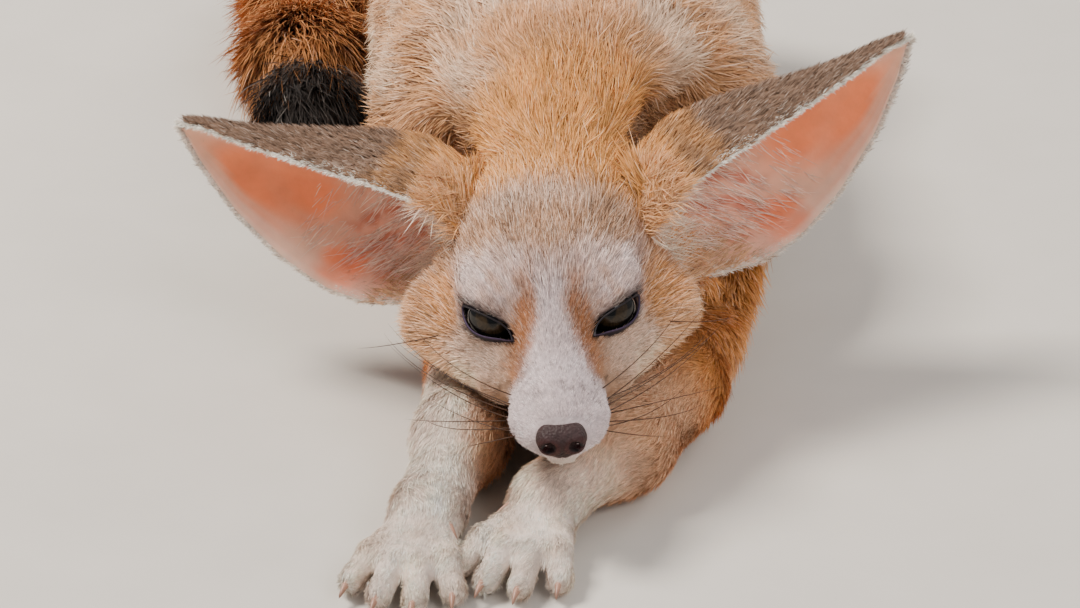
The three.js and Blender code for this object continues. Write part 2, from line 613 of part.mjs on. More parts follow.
function ear(name) {
  const { base, length, axis, back, across } = earFrame(name);
  const [rows, columns] = [12, 10];
  const at = (s, u, inward) => {
    const { lower, depth, curl, ...rim } = earSection(s);
    const upper = rim.upper * EAR[name].rim;
    const handle = (4 / 3) * depth;
    const section = new THREE.CubicBezierCurve(
      new THREE.Vector2(upper, 0),
      new THREE.Vector2(upper + curl, handle),
      new THREE.Vector2(0.25 * depth - lower, handle),
      new THREE.Vector2(-lower, 0),
    );
    const [point, tangent] = [section.getPoint(u), section.getTangent(u)];
    return base
      .clone()
      .addScaledVector(axis, length * s)
      .addScaledVector(across, point.x + inward * tangent.y * -1)
      .addScaledVector(back, point.y + inward * tangent.x);
  };
  const points = [];
  const root = EAR_SECTION[0].s;
  for (const layer of [0, 1])
    for (let i = 0; i <= rows; i++)
      for (let j = 0; j <= columns; j++) {
        const wall = EAR_THICKNESS * (0.55 + 0.45 * Math.sin((Math.PI * j) / columns));
        points.push(at(root + ((1 - root) * i) / rows, j / columns, layer * wall));
      }
  const row = columns + 1;
  const sheet = row * (rows + 1);
  const triangles = [];
  const quad = (a, b, c, d) => triangles.push(a, b, c, a, c, d);
  for (let i = 0; i < rows; i++)
    for (let j = 0; j < columns; j++) {
      const [a, b, c, d] = [i * row + j, i * row + j + 1, (i + 1) * row + j + 1, (i + 1) * row + j];
      quad(a, b, c, d);
      triangles.push(sheet + a, sheet + c, sheet + b, sheet + a, sheet + d, sheet + c);
    }
  for (let i = 0; i < rows; i++) {
    quad(i * row, (i + 1) * row, sheet + (i + 1) * row, sheet + i * row);
    const [low, high] = [i * row + columns, (i + 1) * row + columns];
    quad(high, low, sheet + low, sheet + high);
  }
  const end = rows * row;
  for (let j = 0; j < columns; j++) {
    quad(j + 1, j, sheet + j, sheet + j + 1);
    quad(end + j, end + j + 1, sheet + end + j + 1, sheet + end + j);
  }
  if (SIDES[name] > 0) triangles.reverse();
  return new wasm.Manifold(
    new wasm.Mesh({
      numProp: 3,
      vertProperties: new Float32Array(points.flatMap((p) => [p.x, p.y, p.z])),
      triVerts: new Uint32Array(triangles),
    }),
  );
}
for (const name of Object.keys(SIDES)) {
  const shell = ear(name);
  addNode(`ear_${name}`, minus(shell, headGrown), MATERIALS.earSkin);
}

// Tail: swept round behind the rump and forward along the right side, with a black tip
const TAIL = [
  [v(-8, 364, 24), 14],
  [v(-32, 376, 19), 16],
  [v(-58, 370, 20), 19],
  [v(-71, 342, 21), 21.5],
  [v(-71, 304, 20.5), 22],
  [v(-69, 276, 17), 18],
  [v(-68, 260, 13), 11],
];
const TAIL_CORE = 0.5; // how much of the brush is core, with locks out to its full size
const LOCKS = {
  rings: 5,
  around: 4,
  first: 0.17,
  span: 0.29,
  width: 11.5,
  thickness: 2.4,
  spread: radians(215),
};
const tailLine = new THREE.CatmullRomCurve3(TAIL.map(([p]) => p));
const tailRadius = (t) => {
  const at = Math.min(0.9999, t) * (TAIL.length - 1);
  const [low, high] = [TAIL[Math.floor(at)][1], TAIL[Math.floor(at) + 1][1]];
  return low + (at % 1) * (high - low);
};

// Repeatable numbers between -1 and 1
let drawn = 7;
const vary = () => {
  drawn = (drawn * 16807) % 2147483647;
  return (2 * drawn) / 2147483647 - 1;
};

// One flat lock of the brush. It leaves the core at t along the tail, turned round it by angle, bends with
// the tail and ends at the brush's full size.
function lock(t, angle) {
  const along = tailLine.getTangent(t);
  const side = v(0, 0, 1).cross(along).normalize();
  const out = side.multiplyScalar(Math.cos(angle)).add(v(0, 0, Math.sin(angle)));
  out.addScaledVector(along, -out.dot(along)).normalize();
  const length = LOCKS.span * (1 + 0.12 * vary());
  const stations = [0, 0.4, 0.75, 1].map((k) => {
    const at = t + k * length;
    const over = Math.max(0, at - 1);
    const centre = tailLine.getPoint(Math.min(1, at)).addScaledVector(tailLine.getTangent(1), over * 130);
    const reach = tailRadius(at) * (TAIL_CORE * 0.7 + k ** 0.8 * (0.98 - TAIL_CORE * 0.7)) * (1 - 2.6 * over);
    const width = LOCKS.width * (1 + 0.15 * vary()) * (0.8 + k - 1.3 * k * k);
    return [centre.addScaledVector(out, reach), width, LOCKS.thickness * (1 - 0.6 * k)];
  });
  return tapered(stations, out.clone().cross(along).normalize(), out, 4);
}

const tailLocks = [];
for (let ring = 0; ring < LOCKS.rings; ring++)
  for (let i = 0; i < LOCKS.around; i++) {
    const t = LOCKS.first + ((1 - LOCKS.first - 0.1) * (ring + 0.25 * vary())) / (LOCKS.rings - 1);
    const share = (i + 0.5 * (ring % 2)) / (LOCKS.around - 0.5) - 0.5;
    tailLocks.push(lock(t, Math.PI / 2 + LOCKS.spread * share + 0.1 * vary()));
  }

// The core lies on the floor, where the weight of the tail presses the coat flat
const coreStops = TAIL.map(([p, r], i) => {
  const share = i < 2 ? 1 - 0.25 * i : TAIL_CORE;
  return i ? [v(p.x, p.y, r * 0.72), v(r * share, r * share, r * 0.76)] : [p, round(r)];
});
const coreBones = coreStops.slice(1).map(([b, rb], i) => bone(...coreStops[i], b, rb, 8));
const tailOnly = fieldOf(coreBones);
const tailRootField = (p) => melted(tailOnly(p), trunkField(p), 6);
const tailCuts = [
  { point: v(-18, 372, 21), normal: v(-1, 0.25, 0) },
  { point: v(-68, 352, 20), normal: v(-0.3, -1, 0) },
  { point: v(-70, 296, 20), normal: v(0, -1, 0) },
];
const tailRootGrid = [planes(-50, 40, even(8)), planes(320, 402, even(8)), planes(-8, 80, even(8))];
const tailGrid = [planes(-92, -2, even(7)), planes(242, 402, even(10)), planes(-6, 44, even(8))];
const tailBase = within(skin(tailRootField, tailRootGrid), after(TORSO_TO_TAIL, GAP), before(tailCuts[0]));
addNode("tail_base", minus(tailBase, floor, ...lumpsGrown), MATERIALS.sandFur);
const brushWhole = joined([skin(tailOnly, tailGrid), ...tailLocks]);
const brush = minus(brushWhole, floor, trunkGrown, hindlegs.right.shankGrown);
const tailParts = {
  tail_bend: within(brush, after(tailCuts[0], GAP), before(tailCuts[1])),
  tail_middle: within(brush, after(tailCuts[1], GAP), before(tailCuts[2])),
};
for (const [name, part] of Object.entries(tailParts)) addNode(name, part, MATERIALS.tailFur);
addNode("tail_tip", within(brush, after(tailCuts[2], GAP)), MATERIALS.blackFur);

export default root;
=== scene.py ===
"""A life-size fennec fox lying on its belly: skin, coat, ears, eyes, nose, claws and whiskers.

Shapes are worked out in millimetres in the fox's own frame, where it faces -Y, its left side is +X and the
floor is at zero. Flesh is described by bones, rounded bars that melt into each other, and the coat is grown
over the skin in tufts of thin blades that lie along the body.
"""
import math

import bpy
import numpy as np
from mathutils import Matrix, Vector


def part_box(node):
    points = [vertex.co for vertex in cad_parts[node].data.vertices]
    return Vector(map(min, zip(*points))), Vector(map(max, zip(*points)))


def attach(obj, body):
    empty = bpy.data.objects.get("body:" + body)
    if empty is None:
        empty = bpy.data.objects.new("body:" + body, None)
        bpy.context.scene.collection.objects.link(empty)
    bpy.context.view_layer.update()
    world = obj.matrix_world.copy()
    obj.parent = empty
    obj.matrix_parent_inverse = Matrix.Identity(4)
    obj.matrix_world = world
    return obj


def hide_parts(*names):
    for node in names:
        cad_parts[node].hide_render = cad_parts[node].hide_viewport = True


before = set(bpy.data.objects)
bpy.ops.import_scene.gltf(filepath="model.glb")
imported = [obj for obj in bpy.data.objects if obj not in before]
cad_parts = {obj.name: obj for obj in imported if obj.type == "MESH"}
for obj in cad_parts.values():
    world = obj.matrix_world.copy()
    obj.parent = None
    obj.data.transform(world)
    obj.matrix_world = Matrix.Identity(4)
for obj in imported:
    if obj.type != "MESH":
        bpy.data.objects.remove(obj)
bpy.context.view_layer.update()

import openvdb
from mathutils import Matrix, Vector

bl_info = {
    "name": "Lying fennec fox",
    "version": (1, 0, 0),
    "blender": (4, 5, 0),
    "location": "3D View > Sidebar > Fox",
    "description": "Builds the skin, coat, eyes, nose, claws and whiskers of a lying fennec fox",
    "category": "Mesh",
}

BODY = "root"
SIDES = {"left": 1, "right": -1}

# Head frame: origin at the nose tip, X to the fox's left, Y back to the nape, Z up
NOSE_TIP = np.array([5.6, 22.0, 34.0])
HEAD_TURN = (
    Matrix.Rotation(math.radians(2.4), 3, "Z")
    @ Matrix.Rotation(math.radians(-3), 3, "Y")
    @ Matrix.Rotation(math.radians(10), 3, "X")
)
EYE_CENTRE = np.array([15.2, 43.8, 9.2])
EYE_RADIUS = 7.0
EYE_FORWARD = np.array([0.42, -0.8, 0.42])
LID_SLANT = math.radians(17)
LIDS = {"inner": 9.9, "outer": 7.3, "upper": 2.4, "lower": 3.7, "drop": 0.2}


def unit(vector):
    vector = np.asarray(vector, dtype=float)
    return vector / np.maximum(np.linalg.norm(vector, axis=-1, keepdims=True), 1e-9)


class Place:
    """A frame inside the fox's frame: an origin and the directions of its X, Y and Z."""

    def __init__(self, origin, turn):
        self.origin = np.asarray(origin, dtype=float)
        self.turn = np.asarray(turn, dtype=float)

    def inside(self, points):
        return (points - self.origin) @ self.turn

    def outside(self, points):
        return np.asarray(points, dtype=float) @ self.turn.T + self.origin


HEAD = Place(NOSE_TIP, np.array(HEAD_TURN))
FOX = Place((0, 0, 0), np.eye(3))


def middle_of(node):
    low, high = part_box(node)
    return 500 * (np.array(low) + np.array(high))


# The fox's frame is moved so that the left eye is where the frame has it
MIDDLE = HEAD.outside(EYE_CENTRE) - middle_of("eye_left")


def metres(points):
    return (np.asarray(points) - MIDDLE) / 1000


# Bones


def bone(a, ra, b, rb, melt):
    """A bar from a to b with radii in X, Y and Z at each end, and how softly it melts into others."""
    return tuple(np.array(one, dtype=float) for one in (a, ra, b, rb)) + (melt,)


def lump(a, ra, melt):
    return bone(a, ra, a, ra, melt)


def chain(stops, melt):
    return [bone(a, (ra,) * 3, b, (rb,) * 3, melt) for (a, ra), (b, rb) in zip(stops, stops[1:])]


def both_sides(bones):
    flip = np.array([-1, 1, 1])
    return bones + [(a * flip, ra, b * flip, rb, melt) for a, ra, b, rb, melt in bones]


def bone_distance(points, one):
    a, ra, b, rb, _ = one
    along = b - a
    length2 = along @ along
    if length2:
        t = np.clip((points - a) @ along / length2, 0, 1)[:, None]
    else:
        t = np.zeros((len(points), 1))
    radii = ra + t * (rb - ra)
    ratio = (points - a - t * along) / radii
    k0 = np.sqrt(np.einsum("ij,ij->i", ratio, ratio))
    ratio /= radii
    k1 = np.sqrt(np.einsum("ij,ij->i", ratio, ratio))
    return np.where(k1 > 1e-7, k0 * (k0 - 1) / np.maximum(k1, 1e-7), -radii.min(axis=1))


def melted(first, second, melt):
    h = np.maximum(melt - np.abs(first - second), 0) / melt
    return np.minimum(first, second) - h * h * melt / 4


def carved(body, hole, melt):
    return -melted(-body, hole, melt)


# Points further than NEAR from the box round a part are not worked out, and count as at least FAR away
NEAR = 25.0
FAR = 60.0

# Coat of each part, in millimetres: how deep the skin lies under its tips, length and width of the blades,
# how steeply they rise and how many tufts grow on a square millimetre
COAT_KEYS = ("depth", "length", "width", "lift", "dense")
COAT = {
    "trunk": (4.5, 12, 0.54, 0.42, 0.47),
    "neck": (3.6, 8, 0.42, 0.44, 1.7),
    "head": (1.9, 6.5, 0.32, 0.42, 3.6),
    "jaw": (0.8, 3.5, 0.34, 0.35, 2.6),
    "shoulder": (3.4, 8.5, 0.46, 0.42, 1.15),
    "haunch": (4, 11, 0.6, 0.42, 0.55),
    "arm": (1.5, 5, 0.38, 0.36, 2),
    "paw": (0.6, 2.7, 0.32, 0.36, 3.4),
    "shank": (2, 6.5, 0.48, 0.38, 1),
    "foot": (0.9, 3.5, 0.4, 0.36, 1.6),
    "rump": (3.5, 12, 0.6, 0.4, 0.8),
    "brush": (0, 20, 0.62, 0.62, 1.25),
}


class Flesh:
    """One part of the body: its bones in their own frame, its coat and the way the coat lies."""

    def __init__(self, name, bones, place=FOX, lie=(0, 1, 0)):
        self.name, self.bones, self.place, self.lie = name, bones, place, lie
        self.coat = dict(zip(COAT_KEYS, COAT.get(name, ())))
        self.low = np.min([np.minimum(a - ra, b - rb) for a, ra, b, rb, _ in bones], axis=0)
        self.high = np.max([np.maximum(a + ra, b + rb) for a, ra, b, rb, _ in bones], axis=0)

    def distance(self, points):
        local = self.place.inside(points)
        outside = np.maximum(self.low - local, local - self.high).max(axis=1)
        result = np.maximum(outside, 0) + FAR
        near = np.flatnonzero(outside < NEAR)
        if len(near):
            local = local[near]
            total = np.full(len(near), 1000.0)
            for one in self.bones:
                total = melted(total, bone_distance(local, one), one[4])
            result[near] = total
        return result


TRUNK_BONES = [
    bone((12, 160, 50), (44, 38, 51), (10, 182, 48), (54, 40, 50), 20),
    bone((10, 182, 48), (54, 40, 50), (9, 228, 45), (51, 40, 47), 20),
    bone((9, 228, 45), (51, 40, 47), (7, 302, 45), (50, 42, 48), 20),
]
NECK_BONES = [bone((5, 99, 47), (25, 20, 29), (10, 144, 60), (36, 30, 43), 12)]
SHOULDER = {
    "left": [bone((46, 153, 42), (22, 26, 32), (38, 112, 18), (18, 22, 19), 10)],
    "right": [bone((-20, 153, 44), (22, 26, 32), (-13, 114, 18), (17, 20, 19), 10)],
}
HAUNCH = {
    "left": [bone((42, 300, 46), (22, 34, 36), (46, 272, 34), (20, 34, 32), 12)],
    "right": [bone((-26, 300, 46), (22, 34, 36), (-31, 272, 34), (20, 34, 32), 12)],
}
HEAD_BONES = [
    lump((0, 60, 7), (26, 26, 20), 8),
    lump((0, 80, 6), (25, 18, 18), 10),
    *both_sides([bone((21, 63, -5), (18.5, 20, 12.5), (12, 38, -3), (10, 12, 8), 8)]),
    bone((0, 40, 2), (13, 12, 10), (0, 7, -1.2), (7.6, 7, 7.2), 8),
    bone((0, 48, 12), (10, 9, 7.5), (0, 9, 1.5), (4.8, 6, 4.6), 6),
    *both_sides([lump((6.2, 16, -3), (7.2, 11, 6.2), 5)]),
    *both_sides([lump((13.5, 49, 13.5), (9, 8, 6), 6)]),
    bone((0, 50, -7), (20, 18, 13), (0, 80, -10), (27, 20, 16), 12),
    *both_sides([lump(EYE_CENTRE, (8.2, 8.2, 8.2), 2.5)]),
]
JAW_BONES = [bone((0, 10, -8.6), (5.4, 5.5, 3.8), (0, 38, -8), (13, 12, 7), 5)]
NOSE_BONES = [
    bone((-3.2, 2.6, 0.3), (3.4, 4.4, 3.9), (3.2, 2.6, 0.3), (3.4, 4.4, 3.9), 2),
    bone((0, 3, -1.5), (3, 3.6, 4), (0, 5, -3.5), (2, 3, 3), 2),
    lump((0, 4.4, 2), (4.4, 4, 2.7), 2),
]

# Limbs: a foreleg is a chain from elbow to wrist with a paw of toes, a hind leg a shank over a long foot
FORELEG = {
    "left": {
        "elbow": (35, 92, 16),
        "mid": (21, 60, 15),
        "wrist": (2.5, 37, 11),
        "aim": (-0.35, -1, 0),
        "flesh": 1.1,
    },
    "right": {
        "elbow": (-17, 100, 15.5),
        "mid": (-20.5, 64, 14),
        "wrist": (-28.5, 31, 11),
        "aim": (-0.22, -1, 0),
        "flesh": 0.96,
    },
}
HINDLEG = {
    "left": {"knee": (52, 262, 24), "hock": (46, 334, 12), "aim": (0.1, -1, 0)},
    "right": {"knee": (-36, 262, 24), "hock": (-30, 334, 12), "aim": (-0.06, -1, 0)},
}
TOES = [(-10.2, 33, -0.3), (-3.6, 39, -0.1), (3.6, 39, 0.1), (10.2, 33, 0.3)]  # across, reach and splay
PAW_WIDTH, PALM_LENGTH = 0.94, 18
FOOT_WIDTH, SOLE_LENGTH = 0.82, 62
CLAW_LENGTH = 6.5


def paw_place(joint, aim):
    """A paw's frame: Y runs from the toes back to the wrist, on the floor under the joint."""
    back = -unit(aim)
    side = -np.cross((0, 0, 1), back)
    return Place((joint[0], joint[1], 0), np.array([side, back, (0, 0, 1)]).T)


def toe_bones(width, length):
    made = []
    for across, reach, splay in TOES:
        start = (across * width * 0.8, -length + 4, 8)
        knuckle = (across * width, -length - (reach - 30) * 0.5 - 2, 8.4)
        end = (across * width + splay * 12, -length - reach + 22, 4.6)
        made.append(bone(start, (4.2, 4.2, 4.2), knuckle, (4.1, 4.4, 4.4), 3))
        made.append(bone(knuckle, (4.1, 4.4, 4.4), end, (3.9, 4.4, 4.4), 2))
    return made


# Tail: swept round behind the rump and forward along the right side
TAIL = [
    ((-8, 364, 24), 14),
    ((-32, 376, 19), 16),
    ((-58, 370, 20), 19),
    ((-71, 342, 21), 21.5),
    ((-71, 304, 20.5), 22),
    ((-69, 276, 17), 18),
    ((-68, 260, 13), 11),
]
TAIL_CORE = 0.42  # the tail under its hair, as a share of the brush's radius
TAIL_ROOT = [((6, 318, 48), 24), ((4, 346, 36), 15), ((-8, 364, 24), 11)]
TIP_START = (-70, 292, 20)


def tail_core():
    stops = []
    for (x, y, z), radius in TAIL:
        core = radius * TAIL_CORE
        stops.append(((x, y, core + 0.35 * (z - core)), core))
    stops[0] = (TAIL[0][0], 10)
    return chain(stops, 8)


def arm_bones(leg):
    stops = [(leg["elbow"], 15 * leg["flesh"]), (leg["mid"], 13 * leg["flesh"]), (leg["wrist"], 9.5)]
    return chain(stops, 8)


PAW_PLACE = {side: paw_place(leg["wrist"], leg["aim"]) for side, leg in FORELEG.items()}
FOOT_PLACE = {side: paw_place(leg["hock"], leg["aim"]) for side, leg in HINDLEG.items()}
PALM = bone((0, 0, 10), (9.5, 10, 9.5), (0, -18, 7), (11.5 * PAW_WIDTH, 8, 7), 5)
SOLE = bone((0, 0, 9), (7.5, 8, 9), (0, -52, 7.5), (8.5, 8, 7.5), 5)

TRUNK = Flesh("trunk", TRUNK_BONES, lie=(0, 1, -0.12))
HEADPART = Flesh("head", HEAD_BONES, HEAD)
JAW = Flesh("jaw", JAW_BONES, HEAD)
PARTS = [TRUNK, Flesh("neck", NECK_BONES, lie=(0, 1, -0.15)), HEADPART, JAW]
for side in SIDES:
    fore, hind = FORELEG[side], HINDLEG[side]
    PARTS += [
        Flesh("shoulder", SHOULDER[side], lie=(0, -0.35, -1)),
        Flesh("haunch", HAUNCH[side], lie=(0, 0.7, -0.7)),
        Flesh("arm", arm_bones(fore), lie=np.subtract(fore["wrist"], fore["elbow"])),
        Flesh("paw", [PALM, *toe_bones(PAW_WIDTH, PALM_LENGTH)], PAW_PLACE[side], fore["aim"]),
        Flesh("shank", chain([(hind["knee"], 13), (hind["hock"], 9.5)], 6), lie=(0, 1, -0.4)),
        Flesh("foot", [SOLE, *toe_bones(FOOT_WIDTH, SOLE_LENGTH)], FOOT_PLACE[side], hind["aim"]),
    ]
BRUSH = Flesh("brush", tail_core())
WHOLE_BRUSH = Flesh("brush", chain(TAIL, 8))
PARTS += [Flesh("rump", chain(TAIL_ROOT, 14), lie=(-0.2, 1, -0.6)), BRUSH]

# Ears: a leaf rolled into a trough along a line from base to tip. Each row of the table holds the share of
# the way to the tip, the distances of the upper and lower rim from the line, depth of the back and curl.
EAR_ROOT = -0.14
EAR_SECTION = np.array(
    [
        (EAR_ROOT, 15, 8, 16, 5),
        (0, 21, 17, 25, 10),
        (0.2, 18, 28, 30, 14),
        (0.36, 14.5, 31, 28, 13),
        (0.55, 10.5, 28.5, 20.5, 9),
        (0.76, 6.5, 20.5, 11.5, 4),
        (0.92, 4.5, 9.5, 5, 1),
        (1, 1.4, 1.6, 1, 0),
    ]
)
EAR = {
    "left": {"base": (39.6, 100, 53.7), "tip": (98, 139, 94), "rim": 0.85},
    "right": {"base": (-29.6, 100, 47.2), "tip": (-96, 135, 70.5), "rim": 1},
}
EAR_TILT = math.radians(50)
EAR_THICKNESS = 2.2
EAR_VIEW = np.array([0, 0.89, -0.455])  # away from the camera, where the backs face before they tilt


class Ear:
    """One ear: its frame, its leaf as a function of the share s along and u across, and its markings."""

    def __init__(self, side):
        self.side = SIDES[side]
        self.rim = EAR[side]["rim"]
        self.base = np.array(EAR[side]["base"], dtype=float)
        span = np.array(EAR[side]["tip"]) - self.base
        self.length = float(np.linalg.norm(span))
        self.axis = unit(span)
        away = unit(EAR_VIEW - self.axis * (EAR_VIEW @ self.axis))
        up = unit(np.cross(self.axis, away) * self.side)
        self.back = away * math.cos(EAR_TILT) + up * math.sin(EAR_TILT)
        self.across = up * math.cos(EAR_TILT) - away * math.sin(EAR_TILT)
        fine = np.linspace(EAR_ROOT, 1, 241)
        window = np.hanning(25) / np.hanning(25).sum()
        self.fine = fine
        self.table = []
        for column in EAR_SECTION.T[1:]:
            rough = np.interp(fine, EAR_SECTION[:, 0], column)
            before, after = 2 * rough[0] - rough[12:0:-1], 2 * rough[-1] - rough[-2:-14:-1]
            padded = np.concatenate([before, rough, after])
            self.table.append(np.convolve(padded, window, "valid"))

    def section(self, s):
        upper, lower, depth, curl = (np.interp(s, self.fine, column) for column in self.table)
        return np.maximum(upper, 0.6) * self.rim, np.maximum(lower, 0.8), np.maximum(depth, 0.5), curl

    def leaf(self, s, u, inward=0.0):
        """Points of the leaf's back, or of its inner side where inward is its thickness."""
        s, u = np.asarray(s, dtype=float), np.asarray(u, dtype=float)
        upper, lower, depth, curl = self.section(s)
        handle = 4 / 3 * depth
        w0, w1, w2, w3 = (1 - u) ** 3, 3 * u * (1 - u) ** 2, 3 * u * u * (1 - u), u**3
        x = w0 * upper + w1 * (upper + curl) + w2 * (0.25 * depth - lower) - w3 * lower
        y = (w1 + w2) * handle
        slopes = [(1 - u) ** 2, 2 * u * (1 - u), u * u]
        dx = slopes[0] * curl + slopes[1] * (0.25 * depth - lower - upper - curl) - slopes[2] * 0.25 * depth
        dy = (slopes[0] - slopes[2]) * handle
        size = np.sqrt(dx * dx + dy * dy) + 1e-9
        x = x - inward * dy / size
        y = y + inward * dx / size
        line = self.base + self.axis * (self.length * s)[..., None]
        return line + self.across * x[..., None] + self.back * y[..., None]

    def room(self):
        """Hollow that the neck and shoulder leave for this ear."""
        stops = []
        for s, radius in ((-0.05, 14), (0.2, 28.5), (0.7, 26)):
            centre = self.base + self.axis * self.length * s + self.back * 10 - self.across * 6
            stops.append((centre, radius))
        return chain(stops, 5)


EARS = {side: Ear(side) for side in SIDES}
EAR_ROOMS = [Flesh("room", ear.room()) for ear in EARS.values()]


def ripple(points, size, seed):
    """Smooth repeatable noise of about -1 to 1, with waves of the given size in millimetres."""
    draw = np.random.default_rng(seed)
    total = np.zeros(len(points))
    for _ in range(7):
        direction = unit(draw.normal(size=3)) * (2 * math.pi / size) * draw.uniform(0.7, 1.5)
        total += np.sin(points @ direction + draw.uniform(0, 6.3))
    return total / 3.2


def smooth(low, high, value):
    t = np.clip((value - low) / (high - low), 0, 1)
    return t * t * (3 - 2 * t)


# Eye frame: X from the inner to the outer corner, Y up, Z out of the eye
def eye_turn():
    forward = unit(EYE_FORWARD)
    across = unit(np.cross((0, 0, 1), forward))
    up = np.cross(forward, across)
    slanted = across * math.cos(LID_SLANT) + up * math.sin(LID_SLANT)
    return np.array([slanted, np.cross(forward, slanted), forward]).T


EYE_FRAME = Place(EYE_CENTRE, eye_turn())


def in_eye(head_points, side):
    return EYE_FRAME.inside(head_points * np.array([side, 1, 1]))


def from_eye(eye_points, side):
    return HEAD.outside(EYE_FRAME.outside(eye_points) * np.array([side, 1, 1]))


def lid_curve(u, height, lean):
    """One lid from the inner corner at 0 to the outer corner at 1."""
    inner, outer = LIDS["inner"], LIDS["outer"]
    x = -inner * (1 - u) ** 2 + lean * 2 * u * (1 - u) + outer * u * u
    return x, (4 * u * (1 - u)) ** (1 - 0.35 * u) * height - LIDS["drop"]


def lid_lines():
    """The upper and the lower lid."""
    u = np.linspace(0, 1, 60)
    upper = lid_curve(u, LIDS["upper"], -LIDS["inner"] * 0.25)
    return upper, lid_curve(u, -LIDS["lower"], LIDS["outer"] * 0.2)


def opening_distance(eye_points):
    """Below zero inside the opening between the lids."""
    (upper_x, upper_y), (lower_x, lower_y) = lid_lines()
    x, y = eye_points[:, 0], eye_points[:, 1]
    over = y - np.interp(x, upper_x, upper_y)
    under = np.interp(x, lower_x, lower_y) - y
    past = np.maximum(-LIDS["inner"] - x, x - LIDS["outer"])
    return np.maximum(np.maximum(over, under), past)


def part_distances(points):
    return np.array([one.distance(points) for one in PARTS])


def part_weights(distances):
    """Share of each part in the coat at a place, adding up to one."""
    nearest = distances.min(axis=0)
    weights = np.exp(-np.minimum((distances - nearest) / 2.2, 30))
    return weights / weights.sum(axis=0)


def head_weight(weights):
    return weights[PARTS.index(HEADPART)] + weights[PARTS.index(JAW)]


def face_scale(head_points, at_eyes=0.35):
    """How long the coat of the head is: shortest on the muzzle and round the eyes."""
    x, y, z = np.abs(head_points[:, 0]), head_points[:, 1], head_points[:, 2]
    scale = 0.32 + 0.45 * smooth(22, 46, y) + 0.4 * smooth(48, 64, y) + 0.2 * smooth(72, 90, y)
    scale += 0.45 * smooth(18, 34, x) * smooth(8, -6, z)
    eye = np.linalg.norm(np.stack([x, y, z], axis=-1) - EYE_CENTRE, axis=1)
    return scale * (at_eyes + (1 - at_eyes) * smooth(8, 15, eye))


def coat_value(key, weights, scale):
    """One value of the coat, blended between the parts, with scale for how long the head's coat is."""
    total = np.zeros(weights.shape[1])
    for one, weight in zip(PARTS, weights):
        scaled = one in (HEADPART, JAW) and key in ("depth", "length")
        total += weight * (one.coat[key] * scale if scaled else one.coat[key])
    return total


def body_distance(points):
    """Distance from the skin under the coat."""
    distances = part_distances(points)
    trunk, neck, head, jaw, *limbs, rump, brush = distances
    trunk = melted(trunk, neck, 12)
    legs = np.full(len(points), FAR)
    for shoulder, haunch, arm, paw, shank, foot in (limbs[:6], limbs[6:]):
        trunk = melted(melted(trunk, shoulder, 10), haunch, 12)
        legs = np.minimum(legs, np.minimum(melted(arm, paw, 6), melted(shank, foot, 4)))
    trunk = melted(melted(trunk, rump, 14), brush, 6)
    for room in EAR_ROOMS:
        trunk = carved(trunk, room.distance(points), 6)
        legs = carved(legs, room.distance(points), 3)
    head_points = HEAD.inside(points)
    depth = coat_value("depth", part_weights(distances), face_scale(head_points))
    body = np.minimum(melted(trunk, head, 14), melted(trunk, legs, 6))
    skin = np.minimum(body, jaw) + depth
    near_eyes = np.flatnonzero(np.abs(head_points[:, 1] - 42) < 16)
    if len(near_eyes):
        for side in SIDES.values():
            eye_points = in_eye(head_points[near_eyes], side)
            opening = opening_distance(eye_points)
            cut = np.where(eye_points[:, 2] > 0, -opening, -FAR)
            skin[near_eyes] = np.maximum(skin[near_eyes], cut)
    return carved(skin, points[:, 2] - 0.3, 1.2)


def voxel_mesh(distance, low, high, step, adaptivity):
    """Points and faces of the surface where distance is zero, sampled finely only near that surface."""
    block = 5
    low = np.asarray(low, dtype=float)
    counts = np.ceil((np.asarray(high) - low) / (step * block)).astype(int)
    corners = np.stack(np.meshgrid(*[np.arange(n) for n in counts], indexing="ij"), axis=-1).reshape(-1, 3)
    size = step * block
    coarse = distance(low + (corners + 0.5) * size - step / 2)
    reach = size * 0.87 + 4.5
    volume = np.repeat(np.repeat(np.repeat(coarse.reshape(counts), block, 0), block, 1), block, 2)
    volume = np.clip(volume, -reach, reach).astype(np.float32)
    near = corners[np.abs(coarse) < reach]
    offsets = np.stack(np.meshgrid(*[np.arange(block)] * 3, indexing="ij"), axis=-1).reshape(-1, 3)
    chunk = 2400
    for start in range(0, len(near), chunk):
        cells = (near[start : start + chunk, None] * block + offsets).reshape(-1, 3)
        volume[tuple(cells.T)] = distance(low + cells * step)
    ends = [0, -1]
    volume[ends] = volume[:, ends] = volume[:, :, ends] = reach
    grid = openvdb.FloatGrid(float(reach))
    grid.copyFromArray(volume)
    grid.transform = openvdb.createLinearTransform(voxelSize=step)
    points, triangles, quads = grid.convertToPolygons(isovalue=0.0, adaptivity=adaptivity)
    points = np.asarray(points, dtype=float) + low
    faces = [tuple(face) for face in (*np.asarray(triangles), *np.asarray(quads))]
    return points, outward(points, faces)


# Meshes


